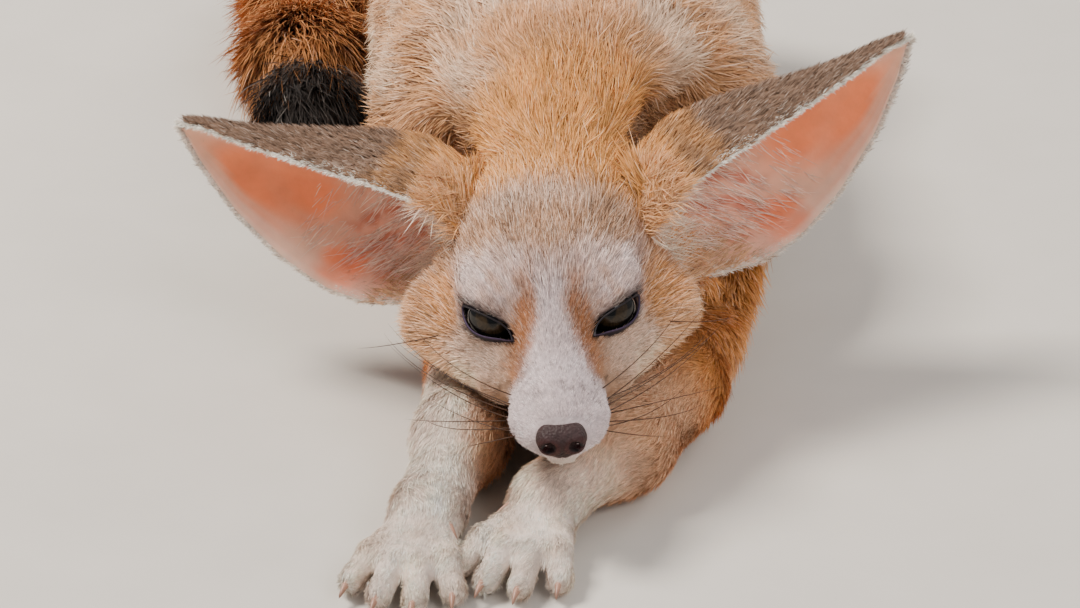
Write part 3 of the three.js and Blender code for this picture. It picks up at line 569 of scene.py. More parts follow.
def new_object(name, points, corners, sizes, looks, colours=None, patch=None):
    """A piece from points in millimetres, with its markings as a colour for each point."""
    mesh = bpy.data.meshes.new(name)
    mesh.vertices.add(len(points))
    mesh.vertices.foreach_set("co", metres(points).astype(np.float32).ravel())
    mesh.loops.add(len(corners))
    mesh.loops.foreach_set("vertex_index", np.asarray(corners, dtype=np.int32))
    mesh.polygons.add(len(sizes))
    starts = np.concatenate([[0], np.cumsum(sizes)[:-1]])
    mesh.polygons.foreach_set("loop_start", starts.astype(np.int32))
    mesh.polygons.foreach_set("use_smooth", np.ones(len(sizes), dtype=bool))
    mesh.update(calc_edges=True)
    for look in looks:
        mesh.materials.append(look)
    if colours is not None:
        paint(mesh, colours)
    if patch is not None:
        layer = mesh.uv_layers.new(name="OFBake")
        layer.uv.foreach_set("vector", patch[corners].astype(np.float32).ravel())
    made = bpy.data.objects.new(name, mesh)
    bpy.context.scene.collection.objects.link(made)
    return made


def paint(mesh, colours):
    layer = mesh.color_attributes.new("Markings", "FLOAT_COLOR", "POINT")
    rgba = np.ones((len(colours), 4), dtype=np.float32)
    rgba[:, :3] = np.clip(colours, 0, 1)
    layer.data.foreach_set("color", rgba.ravel())


def faces_object(name, points, faces, looks, colours=None):
    corners = np.array([corner for face in faces for corner in face])
    sizes = np.array([len(face) for face in faces])
    return new_object(name, points, corners, sizes, looks, colours)


def grid_faces(rows, columns, closed=False, first=0, flip=False):
    """Quads over a sheet of rows by columns points, closed across the columns where asked."""
    faces = []
    across = columns if closed else columns - 1
    for i in range(rows - 1):
        for j in range(across):
            k = (j + 1) % columns
            face = (i * columns + j, i * columns + k, (i + 1) * columns + k, (i + 1) * columns + j)
            faces.append(tuple(first + n for n in (face[::-1] if flip else face)))
    return faces


def outward(points, faces):
    """The faces turned so that the closed mesh faces out."""
    quads = np.array([face if len(face) == 4 else (*face, face[2]) for face in faces])
    p, q, r, s = (points[quads[:, k]] for k in range(4))
    volume = np.einsum("ij,ij->i", p, np.cross(q, r)).sum() + np.einsum("ij,ij->i", p, np.cross(r, s)).sum()
    return faces if volume > 0 else [tuple(reversed(face)) for face in faces]


def swept(path, radii, sides, flat=1.0):
    """A closed tube along a path, with a radius for each of its points and flat for its height to width."""
    tangents = unit(np.gradient(path, axis=0))
    across = unit(np.cross(tangents, (0.0, 0.0, 1.0)))
    over = np.cross(across, tangents)
    turns = np.arange(sides) * 2 * math.pi / sides
    rings = [
        centre + radius * (a * np.cos(turns)[:, None] + o * flat * np.sin(turns)[:, None])
        for centre, radius, a, o in zip(path, radii, across, over)
    ]
    points = np.concatenate([*rings, path[:1], path[-1:]])
    faces = grid_faces(len(path), sides, closed=True)
    last = (len(path) - 1) * sides
    start, end = len(points) - 2, len(points) - 1
    for j in range(sides):
        k = (j + 1) % sides
        faces.append((start, k, j))
        faces.append((end, last + j, last + k))
    return points, outward(points, faces)


def gathered(pieces):
    """Several (points, faces) pieces as one."""
    points, faces, first = [], [], 0
    for some, ring in pieces:
        points.append(some)
        faces += [tuple(first + n for n in face) for face in ring]
        first += len(some)
    return np.concatenate(points), faces


# Materials


class Nodes:
    """Short words for building a material's nodes."""

    def __init__(self, name):
        self.material = bpy.data.materials.get(name) or bpy.data.materials.new(name)
        self.material.use_nodes = True
        self.tree = self.material.node_tree
        self.tree.nodes.clear()
        self.shader = self.add("ShaderNodeBsdfPrincipled")
        output = self.add("ShaderNodeOutputMaterial")
        self.link(self.shader.outputs["BSDF"], output.inputs["Surface"])
        self.place = self.add("ShaderNodeTexCoord").outputs["Object"]

    def add(self, kind, **settings):
        node = self.tree.nodes.new(kind)
        for key, value in settings.items():
            setattr(node, key, value)
        return node

    def link(self, source, target):
        self.tree.links.new(source, target)

    def noise(self, scale, detail=3.0, stretch=None):
        node = self.add("ShaderNodeTexNoise")
        node.inputs["Scale"].default_value = scale
        node.inputs["Detail"].default_value = detail
        if stretch is None:
            self.link(self.place, node.inputs["Vector"])
        else:
            mapping = self.add("ShaderNodeMapping")
            mapping.inputs["Scale"].default_value = stretch
            self.link(self.place, mapping.inputs["Vector"])
            self.link(mapping.outputs["Vector"], node.inputs["Vector"])
        return node.outputs["Fac"]

    def mottled(self, scale, detail, dark, light, low=0.3, high=0.7):
        """The markings as base colour, darker in places down to dark and lighter up to light."""
        ramp = self.add("ShaderNodeMapRange")
        for key, value in {"From Min": low, "From Max": high, "To Min": dark, "To Max": light}.items():
            ramp.inputs[key].default_value = value
        self.link(self.noise(scale, detail), ramp.inputs["Value"])
        markings = self.add("ShaderNodeAttribute", attribute_name="Markings").outputs["Color"]
        product = self.add("ShaderNodeMix", data_type="RGBA", blend_type="MULTIPLY")
        product.inputs["Factor"].default_value = 1.0
        self.link(markings, product.inputs["A"])
        grey = self.add("ShaderNodeCombineColor")
        for channel in ("Red", "Green", "Blue"):
            self.link(ramp.outputs["Result"], grey.inputs[channel])
        self.link(grey.outputs["Color"], product.inputs["B"])
        self.link(product.outputs["Result"], self.shader.inputs["Base Color"])

    def bump(self, height, strength, distance):
        node = self.add("ShaderNodeBump")
        node.inputs["Strength"].default_value = strength
        node.inputs["Distance"].default_value = distance
        self.link(height, node.inputs["Height"])
        self.link(node.outputs["Normal"], self.shader.inputs["Normal"])

    def set(self, **values):
        for key, value in values.items():
            self.shader.inputs[key.replace("_", " ")].default_value = value


def coat_material():
    nodes = Nodes("coat_hair")
    nodes.mottled(900, 2, 0.82, 1.14)
    nodes.set(Roughness=0.62, Specular_IOR_Level=0.22, Sheen_Weight=0.05, Sheen_Roughness=0.5)
    return nodes.material


def skin_material():
    nodes = Nodes("skin_under_coat")
    nodes.mottled(260, 5, 0.72, 1.05)
    nodes.set(Roughness=0.8, Specular_IOR_Level=0.2)
    nodes.bump(nodes.noise(1500, 4, (1, 0.25, 1)), 0.6, 0.0006)
    return nodes.material


def ear_material():
    nodes = Nodes("ear_skin_fine")
    nodes.mottled(120, 5, 0.86, 1.08)
    nodes.set(Roughness=0.55, Specular_IOR_Level=0.35, Subsurface_Weight=0.25, Subsurface_Scale=0.003)
    nodes.set(Subsurface_Radius=(1.0, 0.35, 0.2))
    nodes.bump(nodes.noise(700, 4), 0.25, 0.0004)
    return nodes.material


def eye_material():
    nodes = Nodes("eye_wet")
    nodes.mottled(1400, 4, 0.75, 1.3, 0.25, 0.75)
    nodes.set(Roughness=0.06, Specular_IOR_Level=0.2, Coat_Weight=0.12, Coat_Roughness=0.02)
    nodes.bump(nodes.noise(500, 3), 0.05, 0.0002)
    return nodes.material


def bare_material(name, roughness, grain, height, coat=0.0):
    """Bare skin or horn, with fine cells across it: grain is how many fit in a metre."""
    nodes = Nodes(name)
    cells = nodes.add("ShaderNodeTexVoronoi")
    cells.inputs["Scale"].default_value = grain
    nodes.link(nodes.place, cells.inputs["Vector"])
    nodes.mottled(grain * 0.5, 4, 0.8, 1.15)
    nodes.set(Roughness=roughness, Specular_IOR_Level=0.3, Coat_Weight=coat, Coat_Roughness=0.25)
    nodes.bump(cells.outputs["Distance"], 0.5, height)
    return nodes.material


def floor_material():
    nodes = Nodes("pale_floor")
    grain = nodes.noise(40, 4)
    mix = nodes.add("ShaderNodeMix", data_type="RGBA")
    mix.inputs["A"].default_value = (0.62, 0.58, 0.53, 1)
    mix.inputs["B"].default_value = (0.68, 0.64, 0.59, 1)
    nodes.link(grain, mix.inputs["Factor"])
    nodes.link(mix.outputs["Result"], nodes.shader.inputs["Base Color"])
    nodes.set(Roughness=0.9, Specular_IOR_Level=0.2)
    return nodes.material


# Settings


def colour(name, description, value):
    settings = {"subtype": "COLOR", "size": 3, "default": value}
    return bpy.props.FloatVectorProperty(name=name, description=description, **settings)


class FoxColours(bpy.types.PropertyGroup):
    """Colours of the coat and of the bare parts, some with painted glow, shade and sheen in them."""

    forehead: colour("Forehead", "Coat of the forehead", (0.50, 0.27, 0.15))
    white: colour("White", "Palest coat, over and under the eyes", (0.90, 0.75, 0.66))
    bridge: colour("Bridge", "Coat of the bridge of the muzzle", (0.72, 0.59, 0.60))
    temple: colour("Temple", "Coat beside the eyes", (0.70, 0.30, 0.09))
    tear: colour("Tear mark", "Rusty stripe from the eye to the muzzle", (0.37, 0.13, 0.042))
    cheek: colour("Cheek", "Coat of the cheeks", (0.93, 0.57, 0.34))
    crown: colour("Crown", "Coat of the crown, nape and neck", (0.74, 0.33, 0.085))
    # Partly real, partly painted: the orange chest coat, painted darker and warmer as it looks in shade
    # with warm light thrown up from the ground
    chest: colour("Chest", "Coat of the chest and the insides of the arms", (0.64, 0.25, 0.05))
    arm: colour("Arm", "Coat of the forearms", (0.76, 0.43, 0.24))
    back: colour("Back", "Coat of the back", (0.64, 0.32, 0.14))
    pale: colour("Pale", "Coat of flanks and legs", (0.80, 0.60, 0.44))
    tail: colour("Tail", "Coat of the tail", (0.52, 0.205, 0.055))
    tail_tip: colour("Tail tip", "Coat of the tail's tip", (0.022, 0.015, 0.012))
    ear_back: colour("Ear back", "Coat of the back of the ears", (0.20, 0.115, 0.072))
    ear_inside: colour("Ear inside", "Skin inside the ears", (0.84, 0.44, 0.30))
    # Painted glow: the orange-red of back light shining through the thin ear skin, painted into its colour
    ear_glow: colour("Ear glow", "Thin skin that light shines through", (0.98, 0.24, 0.08))
    ear_red: colour("Ear red", "Ruddy skin near the base inside the ears", (0.52, 0.12, 0.06))
    lid: colour("Lid", "Bare rims of the lids", (0.012, 0.008, 0.011))
    lower_lid: colour("Lower lid", "Moist edge of the lower lid", (0.055, 0.032, 0.072))
    iris: colour("Iris", "Iris of the eyes", (0.022, 0.014, 0.007))
    nose: colour("Nose", "Nose pad", (0.024, 0.009, 0.009))
    # Painted sheen: the upper face of the nose pad is lighter, standing for the soft sheen of light from
    # above
    nose_top: colour("Nose top", "Upper face of the nose pad", (0.04, 0.020, 0.021))
    claw: colour("Claw", "Claws", (0.50, 0.27, 0.19))
    whisker: colour("Whisker", "Whiskers", (0.06, 0.028, 0.015))


class FoxSizes(bpy.types.PropertyGroup):
    """Sizes of the coat and of the small parts."""

    skin_step: bpy.props.FloatProperty(
        name="Skin step", description="Fineness of the skin, in millimetres", default=1.25, min=0.8, max=4
    )
    density: bpy.props.FloatProperty(
        name="Density", description="Tufts grown, as a share of the full coat", default=1.0, min=0.02, max=2
    )
    blades: bpy.props.IntProperty(name="Blades", description="Blades in each tuft", default=4, min=1, max=8)
    whisker_radius: bpy.props.FloatProperty(
        name="Whisker radius",
        description="Half the thickness of a whisker, in millimetres",
        default=0.18,
        min=0.05,
    )


def tones(context):
    group = context.scene.fox_colours
    return {key: np.array(getattr(group, key)) for key in FoxColours.__annotations__}


# Markings


def shaded(base, tone, mask):
    return base + (tone - base) * mask[:, None]


def layered(base, tone, *layers):
    """A base colour under layers, each a colour's name and how strongly it shows."""
    for name, mask in layers:
        base = shaded(base, tone[name], mask)
    return base


def spot(points, centre, radii):
    """One inside an oval patch, falling smoothly to zero at its edge."""
    away = np.linalg.norm((points - np.array(centre)) / np.array(radii), axis=1)
    return smooth(1, 0.45, away)


def stripe(points, a, b, width):
    a, b = np.array(a, dtype=float), np.array(b, dtype=float)
    t = np.clip((points - a) @ (b - a) / ((b - a) @ (b - a)), 0, 1)[:, None]
    away = np.linalg.norm(points - a - t * (b - a), axis=1)
    return smooth(width, width * 0.35, away)


# The rusty stripe from the brow past the inner corner of the eye to the muzzle, in the head's frame
TEAR_MARK = [(6, 51, 19), (5.2, 43, 17), (5.6, 37, 14), (7.8, 30, 9.5), (10.4, 25.5, 5.5)]


def head_markings(points, tone):
    """Markings of the head, in its own frame and alike on both sides."""
    folded = points.copy()
    folded[:, 0] = np.abs(points[:, 0])
    x, y, z = folded.T
    cheek = smooth(3, -3, z) * smooth(26, 36, y)
    result = layered(
        np.tile(tone["forehead"], (len(points), 1)),
        tone,
        ("white", 0.28 * smooth(60, 67, y) * smooth(81, 72, y) * smooth(22, 6, x)),
        ("crown", smooth(68, 80, y) * smooth(-4, 6, z)),
        ("temple", 0.85 * spot(folded, (27, 55, 4), (12, 14, 12))),
        ("cheek", cheek),
        ("temple", 0.6 * cheek * smooth(20, 31, x)),
        ("white", 0.32 * spot(folded, (17, 38, 1), (14, 15, 10))),
    )
    brow = tone["bridge"] * 1.1
    streaky = 1 + 0.4 * ripple(points * np.array([1, 0.3, 1]), 4, 12)
    over_eye = 0.5 * spot(folded, (16.5, 45, 16.5), (23, 14, 13))
    result = shaded(result, brow, np.clip(streaky * over_eye, 0, 0.7))
    result = shaded(result, brow, 0.38 * stripe(folded, (21, 49, 16), (33, 68, 16), 9))
    width = 3.4 + 6.5 * smooth(35, 22, y)
    rust = np.zeros(len(points))
    for a, b, strength, broad in zip(TEAR_MARK, TEAR_MARK[1:], (0.35, 0.75, 0.9, 0.7), (4.5, 4.3, 5, 6)):
        rust = np.maximum(rust, strength * stripe(folded, a, b, broad))
    specks = smooth(0.74, 0.94, ripple(points, 1.6, 11)) * smooth(36, 26, y) * smooth(5, 12, y)
    result = layered(
        result,
        tone,
        ("bridge", 0.92 * smooth(width + 2.5, width - 1.5, x) * smooth(50, 36, y) * smooth(0, 5, z)),
        ("bridge", smooth(27, 19, y)),
        ("tear", rust),
        ("tear", 0.6 * spot(folded, (24, 46.5, 11), (4.5, 5.5, 5))),
        ("white", 0.7 * smooth(-5, -10, z)),
        ("whisker", 0.7 * specks),
    )
    for side in SIDES.values():
        eye_points = in_eye(points, side)
        near = (np.linalg.norm(eye_points, axis=1) < 13) & (eye_points[:, 2] > 0)
        rim = smooth(2.0, 0.5, opening_distance(eye_points)) * near
        result = shaded(result, tone["lid"], 0.8 * rim)
    mouth = stripe(folded, (0, 4, -7), (12, 27, -8.5), 1.6)
    return shaded(result, tone["whisker"], 0.8 * mouth)


def markings(points, weights, tone):
    """Colour of the coat at points on the body, given how near each part is."""
    x, y, z = points.T
    plain = np.ones((len(points), 1))
    mottle = smooth(-0.2, 1.0, ripple(points, 30, 8) + 0.5 * ripple(points, 11, 7))
    back = layered(
        plain * tone["back"],
        tone,
        ("pale", 0.62 * mottle * smooth(112, 140, y)),
        ("crown", 0.7 * smooth(136, 114, y)),
        ("pale", 0.85 * smooth(56, 20, z)),
    )
    # Under the neck the chest colour takes over, which holds painted shade as well as the coat's orange
    under_neck = ("chest", smooth(64, 40, z)), ("pale", 0.4 * smooth(26, 8, z))
    neck = layered(plain * tone["crown"], tone, *under_neck)
    neck = neck + (back - neck) * (smooth(118, 136, y) * smooth(40, 62, z))[:, None]
    # Forearms start from the chest colour, which holds painted shade; only the outer side of the right
    # forearm turns white, and its tan inner side stands for the warm shade there
    arm = layered(
        plain * tone["chest"],
        tone,
        ("arm", smooth(88, 66, y)),
        ("white", 0.6 * smooth(52, 38, y)),
        ("white", 0.9 * smooth(-12, -24, x) * smooth(100, 84, y)),
    )
    tip_line = smooth(TIP_START[1] + 10, TIP_START[1] - 8, y + 5 * ripple(points, 9, 9))
    tail = layered(plain * tone["tail"], tone, ("pale", 0.25 * smooth(14, 4, z)), ("tail_tip", tip_line))
    paw = shaded(plain * tone["white"], tone["pale"], 0.4 * smooth(-0.3, 1, ripple(points, 13, 14)))
    colours = {
        "trunk": back,
        "neck": neck,
        "head": head_markings(HEAD.inside(points), tone),
        "jaw": plain * tone["white"],
        "shoulder": shaded(neck, tone["back"], smooth(40, 80, z) * smooth(130, 150, y)),
        "haunch": shaded(back, tone["pale"], 0.3 * plain[:, 0]),
        "arm": arm,
        "paw": paw,
        "shank": plain * tone["pale"],
        "foot": paw,
        "rump": shaded(back, tone["tail"], 0.6 * plain[:, 0]),
        "brush": tail,
    }
    total = np.zeros((len(points), 3))
    for one, weight in zip(PARTS, weights):
        total += colours[one.name] * weight[:, None]
    streak = 1 + 0.10 * ripple(points * np.array([1, 0.35, 1]), 12, 5) + 0.06 * ripple(points, 5, 6)
    return np.clip(total * streak[:, None], 0.005, 1)


# Length and width over which an ear's markings are laid out
EAR_FLAT = (90, 60)


def ear_markings(s, u, inner, tone):
    """Colour of an ear at shares s along and u across, on its inner side or its back, with painted glow of
    back light inside.
    """
    flat = np.stack([s * EAR_FLAT[0], u * EAR_FLAT[1], np.zeros_like(s)], axis=-1)

    def oval(s, u, radii):
        return spot(flat, (s * EAR_FLAT[0], u * EAR_FLAT[1], 0), (*radii, 1))

    plain = np.ones((len(s), 1))
    # Painted glow of back light through the thin skin: a broad patch towards the tip, and a small spot near
    # the lower rim
    glow = oval(0.68, 0.68, (27, 18)) * (0.85 + 0.25 * ripple(flat, 20, 21))
    streaks = smooth(-0.1, 0.8, np.sin(s * 30 - u * 46 + ripple(flat, 14, 25)))
    inside = layered(
        plain * tone["ear_inside"],
        tone,
        ("pale", 0.3 * smooth(0.3, 0.9, ripple(flat, 30, 24))),
        ("ear_glow", np.clip(glow, 0, 0.9)),
        ("ear_glow", 0.85 * oval(0.36, 0.93, (10, 5))),
        ("ear_red", 0.75 * streaks * oval(0.24, 0.72, (22, 17))),
        ("cheek", 0.85 * smooth(0.12, -0.02, s)),
        ("white", 0.45 * smooth(0.16, 0.0, u) + 0.3 * smooth(0.9, 1, u)),
    )
    back = layered(
        plain * tone["ear_back"],
        tone,
        ("crown", 0.85 * smooth(0.34, 0.0, s + 0.1 * ripple(flat, 16, 26))),
        ("pale", 0.35 * smooth(0.3, 0.6, u) * smooth(0.9, 0.5, s)),
    )
    back = back * (1 + 0.14 * ripple(flat, 5, 22))[:, None]
    return np.where(inner[:, None], inside, back)


# Unwrap of the skin's shape: each part has six tiles, one for each way its surface faces, and each ear two
TILES = 11


def unwrap(points, normals, weights):
    part = weights.argmax(axis=0)
    axis = np.abs(normals).argmax(axis=1)
    facing = np.take_along_axis(normals, axis[:, None], axis=1)[:, 0] > 0
    tile = part * 6 + axis * 2 + facing
    result = np.zeros((len(points), 2))
    for number in np.unique(part):
        chosen = part == number
        local = PARTS[number].place.inside(points[chosen])
        span = PARTS[number].high - PARTS[number].low + 8
        share = np.clip((local - PARTS[number].low + 4) / span, 0, 1)
        first = np.where(axis[chosen] == 0, 1, 0)
        second = np.where(axis[chosen] == 2, 1, 2)
        result[chosen, 0] = share[np.arange(len(share)), first]
        result[chosen, 1] = share[np.arange(len(share)), second]
    return in_tile(result, tile)


def in_tile(share, tile):
    corner = np.stack([tile % TILES, tile // TILES], axis=-1)
    return (corner + 0.04 + 0.92 * share) / TILES


# Coat


class Tufts:
    """Places, directions and sizes of tufts, one row for each."""

    def __init__(self, **values):
        self.__dict__.update(values)

    def part(self, chosen):
        return Tufts(**{key: value[chosen] for key, value in self.__dict__.items()})

    def __len__(self):
        return len(self.points)


PATCH = 0.003  # size of a tuft's patch in the unwrap
BLEACHED = np.array([0.86, 0.78, 0.70])  # tips of the palest hairs


def grow(name, tufts, blades, rings, seed, look, tidy):
    """One piece of coat: each tuft is a few thin blades whose tips draw together."""
    draw = np.random.default_rng(seed)
    count = len(tufts) * blades
    row = np.repeat(np.arange(len(tufts)), blades)
    normal, flow = tufts.normals[row], tufts.flows[row]
    side = np.cross(flow, normal)
    spread = tufts.spread[row]
    shift = draw.uniform(-1, 1, (2, count)) * spread
    root = tufts.points[row] + side * shift[0][:, None] + flow * shift[1][:, None] - normal * 0.35
    yaw = draw.normal(0, tidy, count)
    length = tufts.length[row] * draw.uniform(0.72, 1.2, count)
    lift = tufts.lift[row] * draw.uniform(0.55, 1.4, count)
    ahead = flow * np.cos(yaw)[:, None] + side * np.sin(yaw)[:, None]
    roll = draw.normal(0, 0.45, count)
    across = side * np.cos(roll)[:, None] + normal * np.sin(roll)[:, None]
    width = tufts.width[row] * draw.uniform(0.7, 1.25, count)
    strand = draw.normal(0, 1, count) * tufts.fleck[row]
    bright = np.exp(0.3 * np.minimum(strand, 0.6))[:, None]
    bleach = np.clip(strand - 0.5, 0, 0.9)[:, None] * 0.55
    shares = np.linspace(0, 1, rings + 1)
    points = np.zeros((count, 2 * rings + 1, 3))
    colours = np.zeros_like(points)
    patch = np.zeros((count, 2 * rings + 1, 2))
    for k, share in enumerate(shares):
        rise = lift * length * (share - 0.45 * share * share)
        drawn = -0.55 * shift[0] * share * share
        centre = root + ahead * (length * share)[:, None] + normal * rise[:, None] + side * drawn[:, None]
        half = across * (width * (0.5 if k == 0 else 0.5 * (1 - share) ** 0.6 + 0.02))[:, None]
        tone = tufts.low[row] * (1 - share) + tufts.high[row] * share
        tone = np.clip(tone * bright + (BLEACHED - tone) * bleach * share, 0, 1)
        where = tufts.patch[row] + np.array([0, PATCH * (share - 0.5)])
        if k == rings:
            points[:, -1], colours[:, -1], patch[:, -1] = centre, tone, where
            continue
        edge = np.array([PATCH * 0.5 * (1 - share), 0])
        points[:, 2 * k], points[:, 2 * k + 1] = centre - half, centre + half
        colours[:, 2 * k] = colours[:, 2 * k + 1] = tone
        patch[:, 2 * k], patch[:, 2 * k + 1] = where - edge, where + edge
    points[..., 2] = np.maximum(points[..., 2], 0.15)
    corners = [2 * k + corner for k in range(rings - 1) for corner in (0, 1, 3, 2)]
    corners += [2 * rings - 2, 2 * rings - 1, 2 * rings]
    loops = (np.arange(count)[:, None] * (2 * rings + 1) + corners).ravel()
    sizes = np.tile([4] * (rings - 1) + [3], count)
    points, colours, patch = (values.reshape(-1, values.shape[-1]) for values in (points, colours, patch))
    made = new_object(name, points, loops, sizes, [look], colours, patch)
    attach(made, BODY)


MOST_TRIANGLES = 190000


def grow_all(name, tufts, blades, rings, seed, look, tidy=0.16):
    """The same in as many pieces as keep each one small, taken in order from nose to tail."""
    each = blades * (2 * rings - 1)
    pieces = max(1, math.ceil(len(tufts) * each / MOST_TRIANGLES))
    order = np.argsort(tufts.points[:, 1], kind="stable")
    for number, chosen in enumerate(np.array_split(order, pieces)):
        label = f"{name}_{number + 1}" if pieces > 1 else name
        grow(label, tufts.part(chosen), blades, rings, seed + number, look, tidy)


def read(items, key, kind=np.int32, width=1):
    """One value of each item of a mesh, as an array."""
    values = np.empty(len(items) * width, dtype=kind)
    items.foreach_get(key, values)
    return values.reshape(-1, width) if width > 1 else values


def mesh_arrays(mesh):
    """Points in millimetres and their normals."""
    points = read(mesh.vertices, "co", np.float32, 3).astype(float)
    return points * 1000 + MIDDLE, read(mesh.vertices, "normal", np.float32, 3).astype(float)


def tail_direction(points):
    """Towards the tip of the tail, and how thick the brush is there."""
    stops = np.array([(*stop, radius) for stop, radius in TAIL], dtype=float)
    share = np.linspace(0, len(stops) - 1, 80)
    line = np.stack([np.interp(share, np.arange(len(stops)), column) for column in stops.T], axis=-1)
    tangents = unit(np.gradient(line[:, :3], axis=0))
    nearest = np.linalg.norm(points[:, None, :2] - line[None, :, :2], axis=2).argmin(axis=1)
    return tangents[nearest], line[nearest, 3]


def along(flow, normals):
    """Directions laid flat against the surface."""
    return unit(flow - normals * np.einsum("ij,ij->i", flow, normals)[:, None])


def lie_of_coat(points, normals, weights):
    """The way the coat lies at each point, along the skin."""
    flow = np.zeros((len(points), 3))
    head_points = HEAD.inside(points)
    for one, weight in zip(PARTS, weights):
        if one in (HEADPART, JAW):
            source = np.clip(head_points[:, 1] - 24, -14, 30)
            way = head_points - np.stack([0 * source, source, 3 + 0 * source], axis=-1)
            droop = smooth(6, -4, head_points[:, 2]) * smooth(30, 45, head_points[:, 1])
            way = unit(way) + droop[:, None] * np.array([0, 0, -0.3])
            way = HEAD.outside(way) - HEAD.origin
        elif one is BRUSH:
            way = tail_direction(points)[0]
        else:
            way = np.tile(unit(one.lie), (len(points), 1))
        if one is TRUNK:
            way[:, 2] -= 0.5 * smooth(8, 40, np.abs(points[:, 0] - 8))
        flow += unit(way) * weight[:, None]
    swirl = 0.3 * ripple(points, 21, 31) + 0.2 * ripple(points, 7, 32)
    swirl *= 1 - 0.6 * head_weight(weights)
    flow = along(flow, normals)
    return unit(flow + np.cross(flow, normals) * swirl[:, None])


def bare_places(points):
    """True where no hair grows: between the lids, on the nose pad, and where the fox rests on the floor."""
    head_points = HEAD.inside(points)
    bare = Flesh("pad", NOSE_BONES, HEAD).distance(points) < 0.35
    bare |= points[:, 2] < 1.0
    for side in SIDES.values():
        eye_points = in_eye(head_points, side)
        close = (np.linalg.norm(eye_points, axis=1) < 14) & (eye_points[:, 2] > 0)
        margin = 0.35 + 0.5 * (eye_points[:, 1] < 0) + 1.1 * smooth(-5, -8, eye_points[:, 0])
        bare |= close & (opening_distance(eye_points) < margin)
    return bare


def scattered(skin, density):
    """Places and normals spread over the skin, apart from the ears, closest on the face and feet."""
    draw = np.random.default_rng(101)
    points, normals = mesh_arrays(skin.data)
    skin.data.calc_loop_triangles()
    triangles = skin.data.loop_triangles
    corners, polygon = read(triangles, "vertices", width=3), read(triangles, "polygon_index")
    on_body = read(skin.data.polygons, "material_index")[polygon] == 0
    middles = points[corners].mean(axis=1)
    for ear in EARS.values():
        near = np.linalg.norm(middles - ear.base, axis=1) < 45
        on_body |= near & ((middles - ear.base) @ ear.axis < 0.03 * ear.length)
    corners = corners[on_body]
    a, b, c = (points[corners[:, k]] for k in range(3))
    area = 0.5 * np.linalg.norm(np.cross(b - a, c - a), axis=1)
    centre = (a + b + c) / 3
    weights = part_weights(part_distances(centre))
    dense = coat_value("dense", weights, 1)
    back_of_nose = HEAD.inside(centre)[:, 1]
    face = weights[PARTS.index(HEADPART)]
    dense *= 1 - 0.5 * face * smooth(58, 84, back_of_nose)
    dense *= 1 + 1.3 * face * smooth(42, 26, back_of_nose)
    dense *= 1 - 0.6 * smooth(-0.1, -0.9, np.cross(b - a, c - a)[:, 2] / (2 * area + 1e-9))
    wanted = area * dense * density
    copies = np.floor(wanted + draw.random(len(wanted))).astype(int)
    row = np.repeat(np.arange(len(copies)), copies)
    first, second = draw.random((2, len(row)))
    over = first + second > 1
    first[over], second[over] = 1 - first[over], 1 - second[over]
    keep, shares = corners[row], (1 - first - second, first, second)
    root, normal = (
        sum(values[keep[:, k]] * share[:, None] for k, share in enumerate(shares))
        for values in (points, normals)
    )
    growing = ~bare_places(root)
    return root[growing], unit(normal)[growing]


def body_tufts(skin, density, tone):
    """Tufts over the whole skin, apart from the ears, shorter and finer on the face and feet."""
    root, normal = scattered(skin, density)
    weights = part_weights(part_distances(root))
    head_points = HEAD.inside(root)
    back_of_nose = head_points[:, 1]
    scale = face_scale(head_points, 0.68)
    length, width, lift = (coat_value(key, weights, scale) for key in ("length", "width", "lift"))
    width *= 1 - 0.35 * weights[PARTS.index(HEADPART)] * smooth(42, 28, back_of_nose)
    flows = lie_of_coat(root, normal, weights)
    brush = weights[PARTS.index(BRUSH)]
    length = length * (1 - brush) + brush * tail_direction(root)[1] * 1.15
    length *= 1 + 0.22 * ripple(root, 3.1, 41)
    crest = np.max([spot(root, ear.leaf(0.03, 0.02), (13, 13, 13)) for ear in EARS.values()], axis=0)
    length *= 1 + 0.5 * crest
    lift *= 1 + 0.9 * crest
    for _ in range(6):
        tip = root + flows * (0.95 * length)[:, None] + normal * (0.55 * lift * length)[:, None]
        out = reach(tip) > 0.8
        lift[out] *= 0.8
        length[out] *= 0.9
    legs = sum(weights[k] for k, one in enumerate(PARTS) if one.name in ("arm", "paw", "shank", "foot"))
    muzzle = smooth(34, 24, back_of_nose)
    brow = smooth(42, 56, back_of_nose)
    head = head_weight(weights)
    fleck = 0.75 + head * (0.4 + 0.6 * brow - 0.25 * muzzle) - 0.4 * legs - 0.3 * brush
    base = markings(root, weights, tone)
    return Tufts(
        points=root,
        normals=normal,
        flows=flows,
        length=length,
        width=width,
        lift=lift,
        spread=0.3 + 0.055 * length,
        fleck=np.clip(fleck, 0.2, 1.6),
        low=base * 0.62,
        high=np.clip(base * 1.18 + 0.02, 0, 1),
        patch=unwrap(root, normal, weights),
        head=head,
        brush=brush,
        legs=legs,
    )


def reach(points):
    """Distance outside the flesh and coat together."""
    solid = WHOLE_BRUSH.distance(points)
    for one in PARTS:
        solid = melted(solid, one.distance(points), 8)
    return solid


# Operators


def use(name):
    found = bpy.data.objects.get(name)
    if found is None:
        raise RuntimeError(f"{name} has to be made first")
    return found


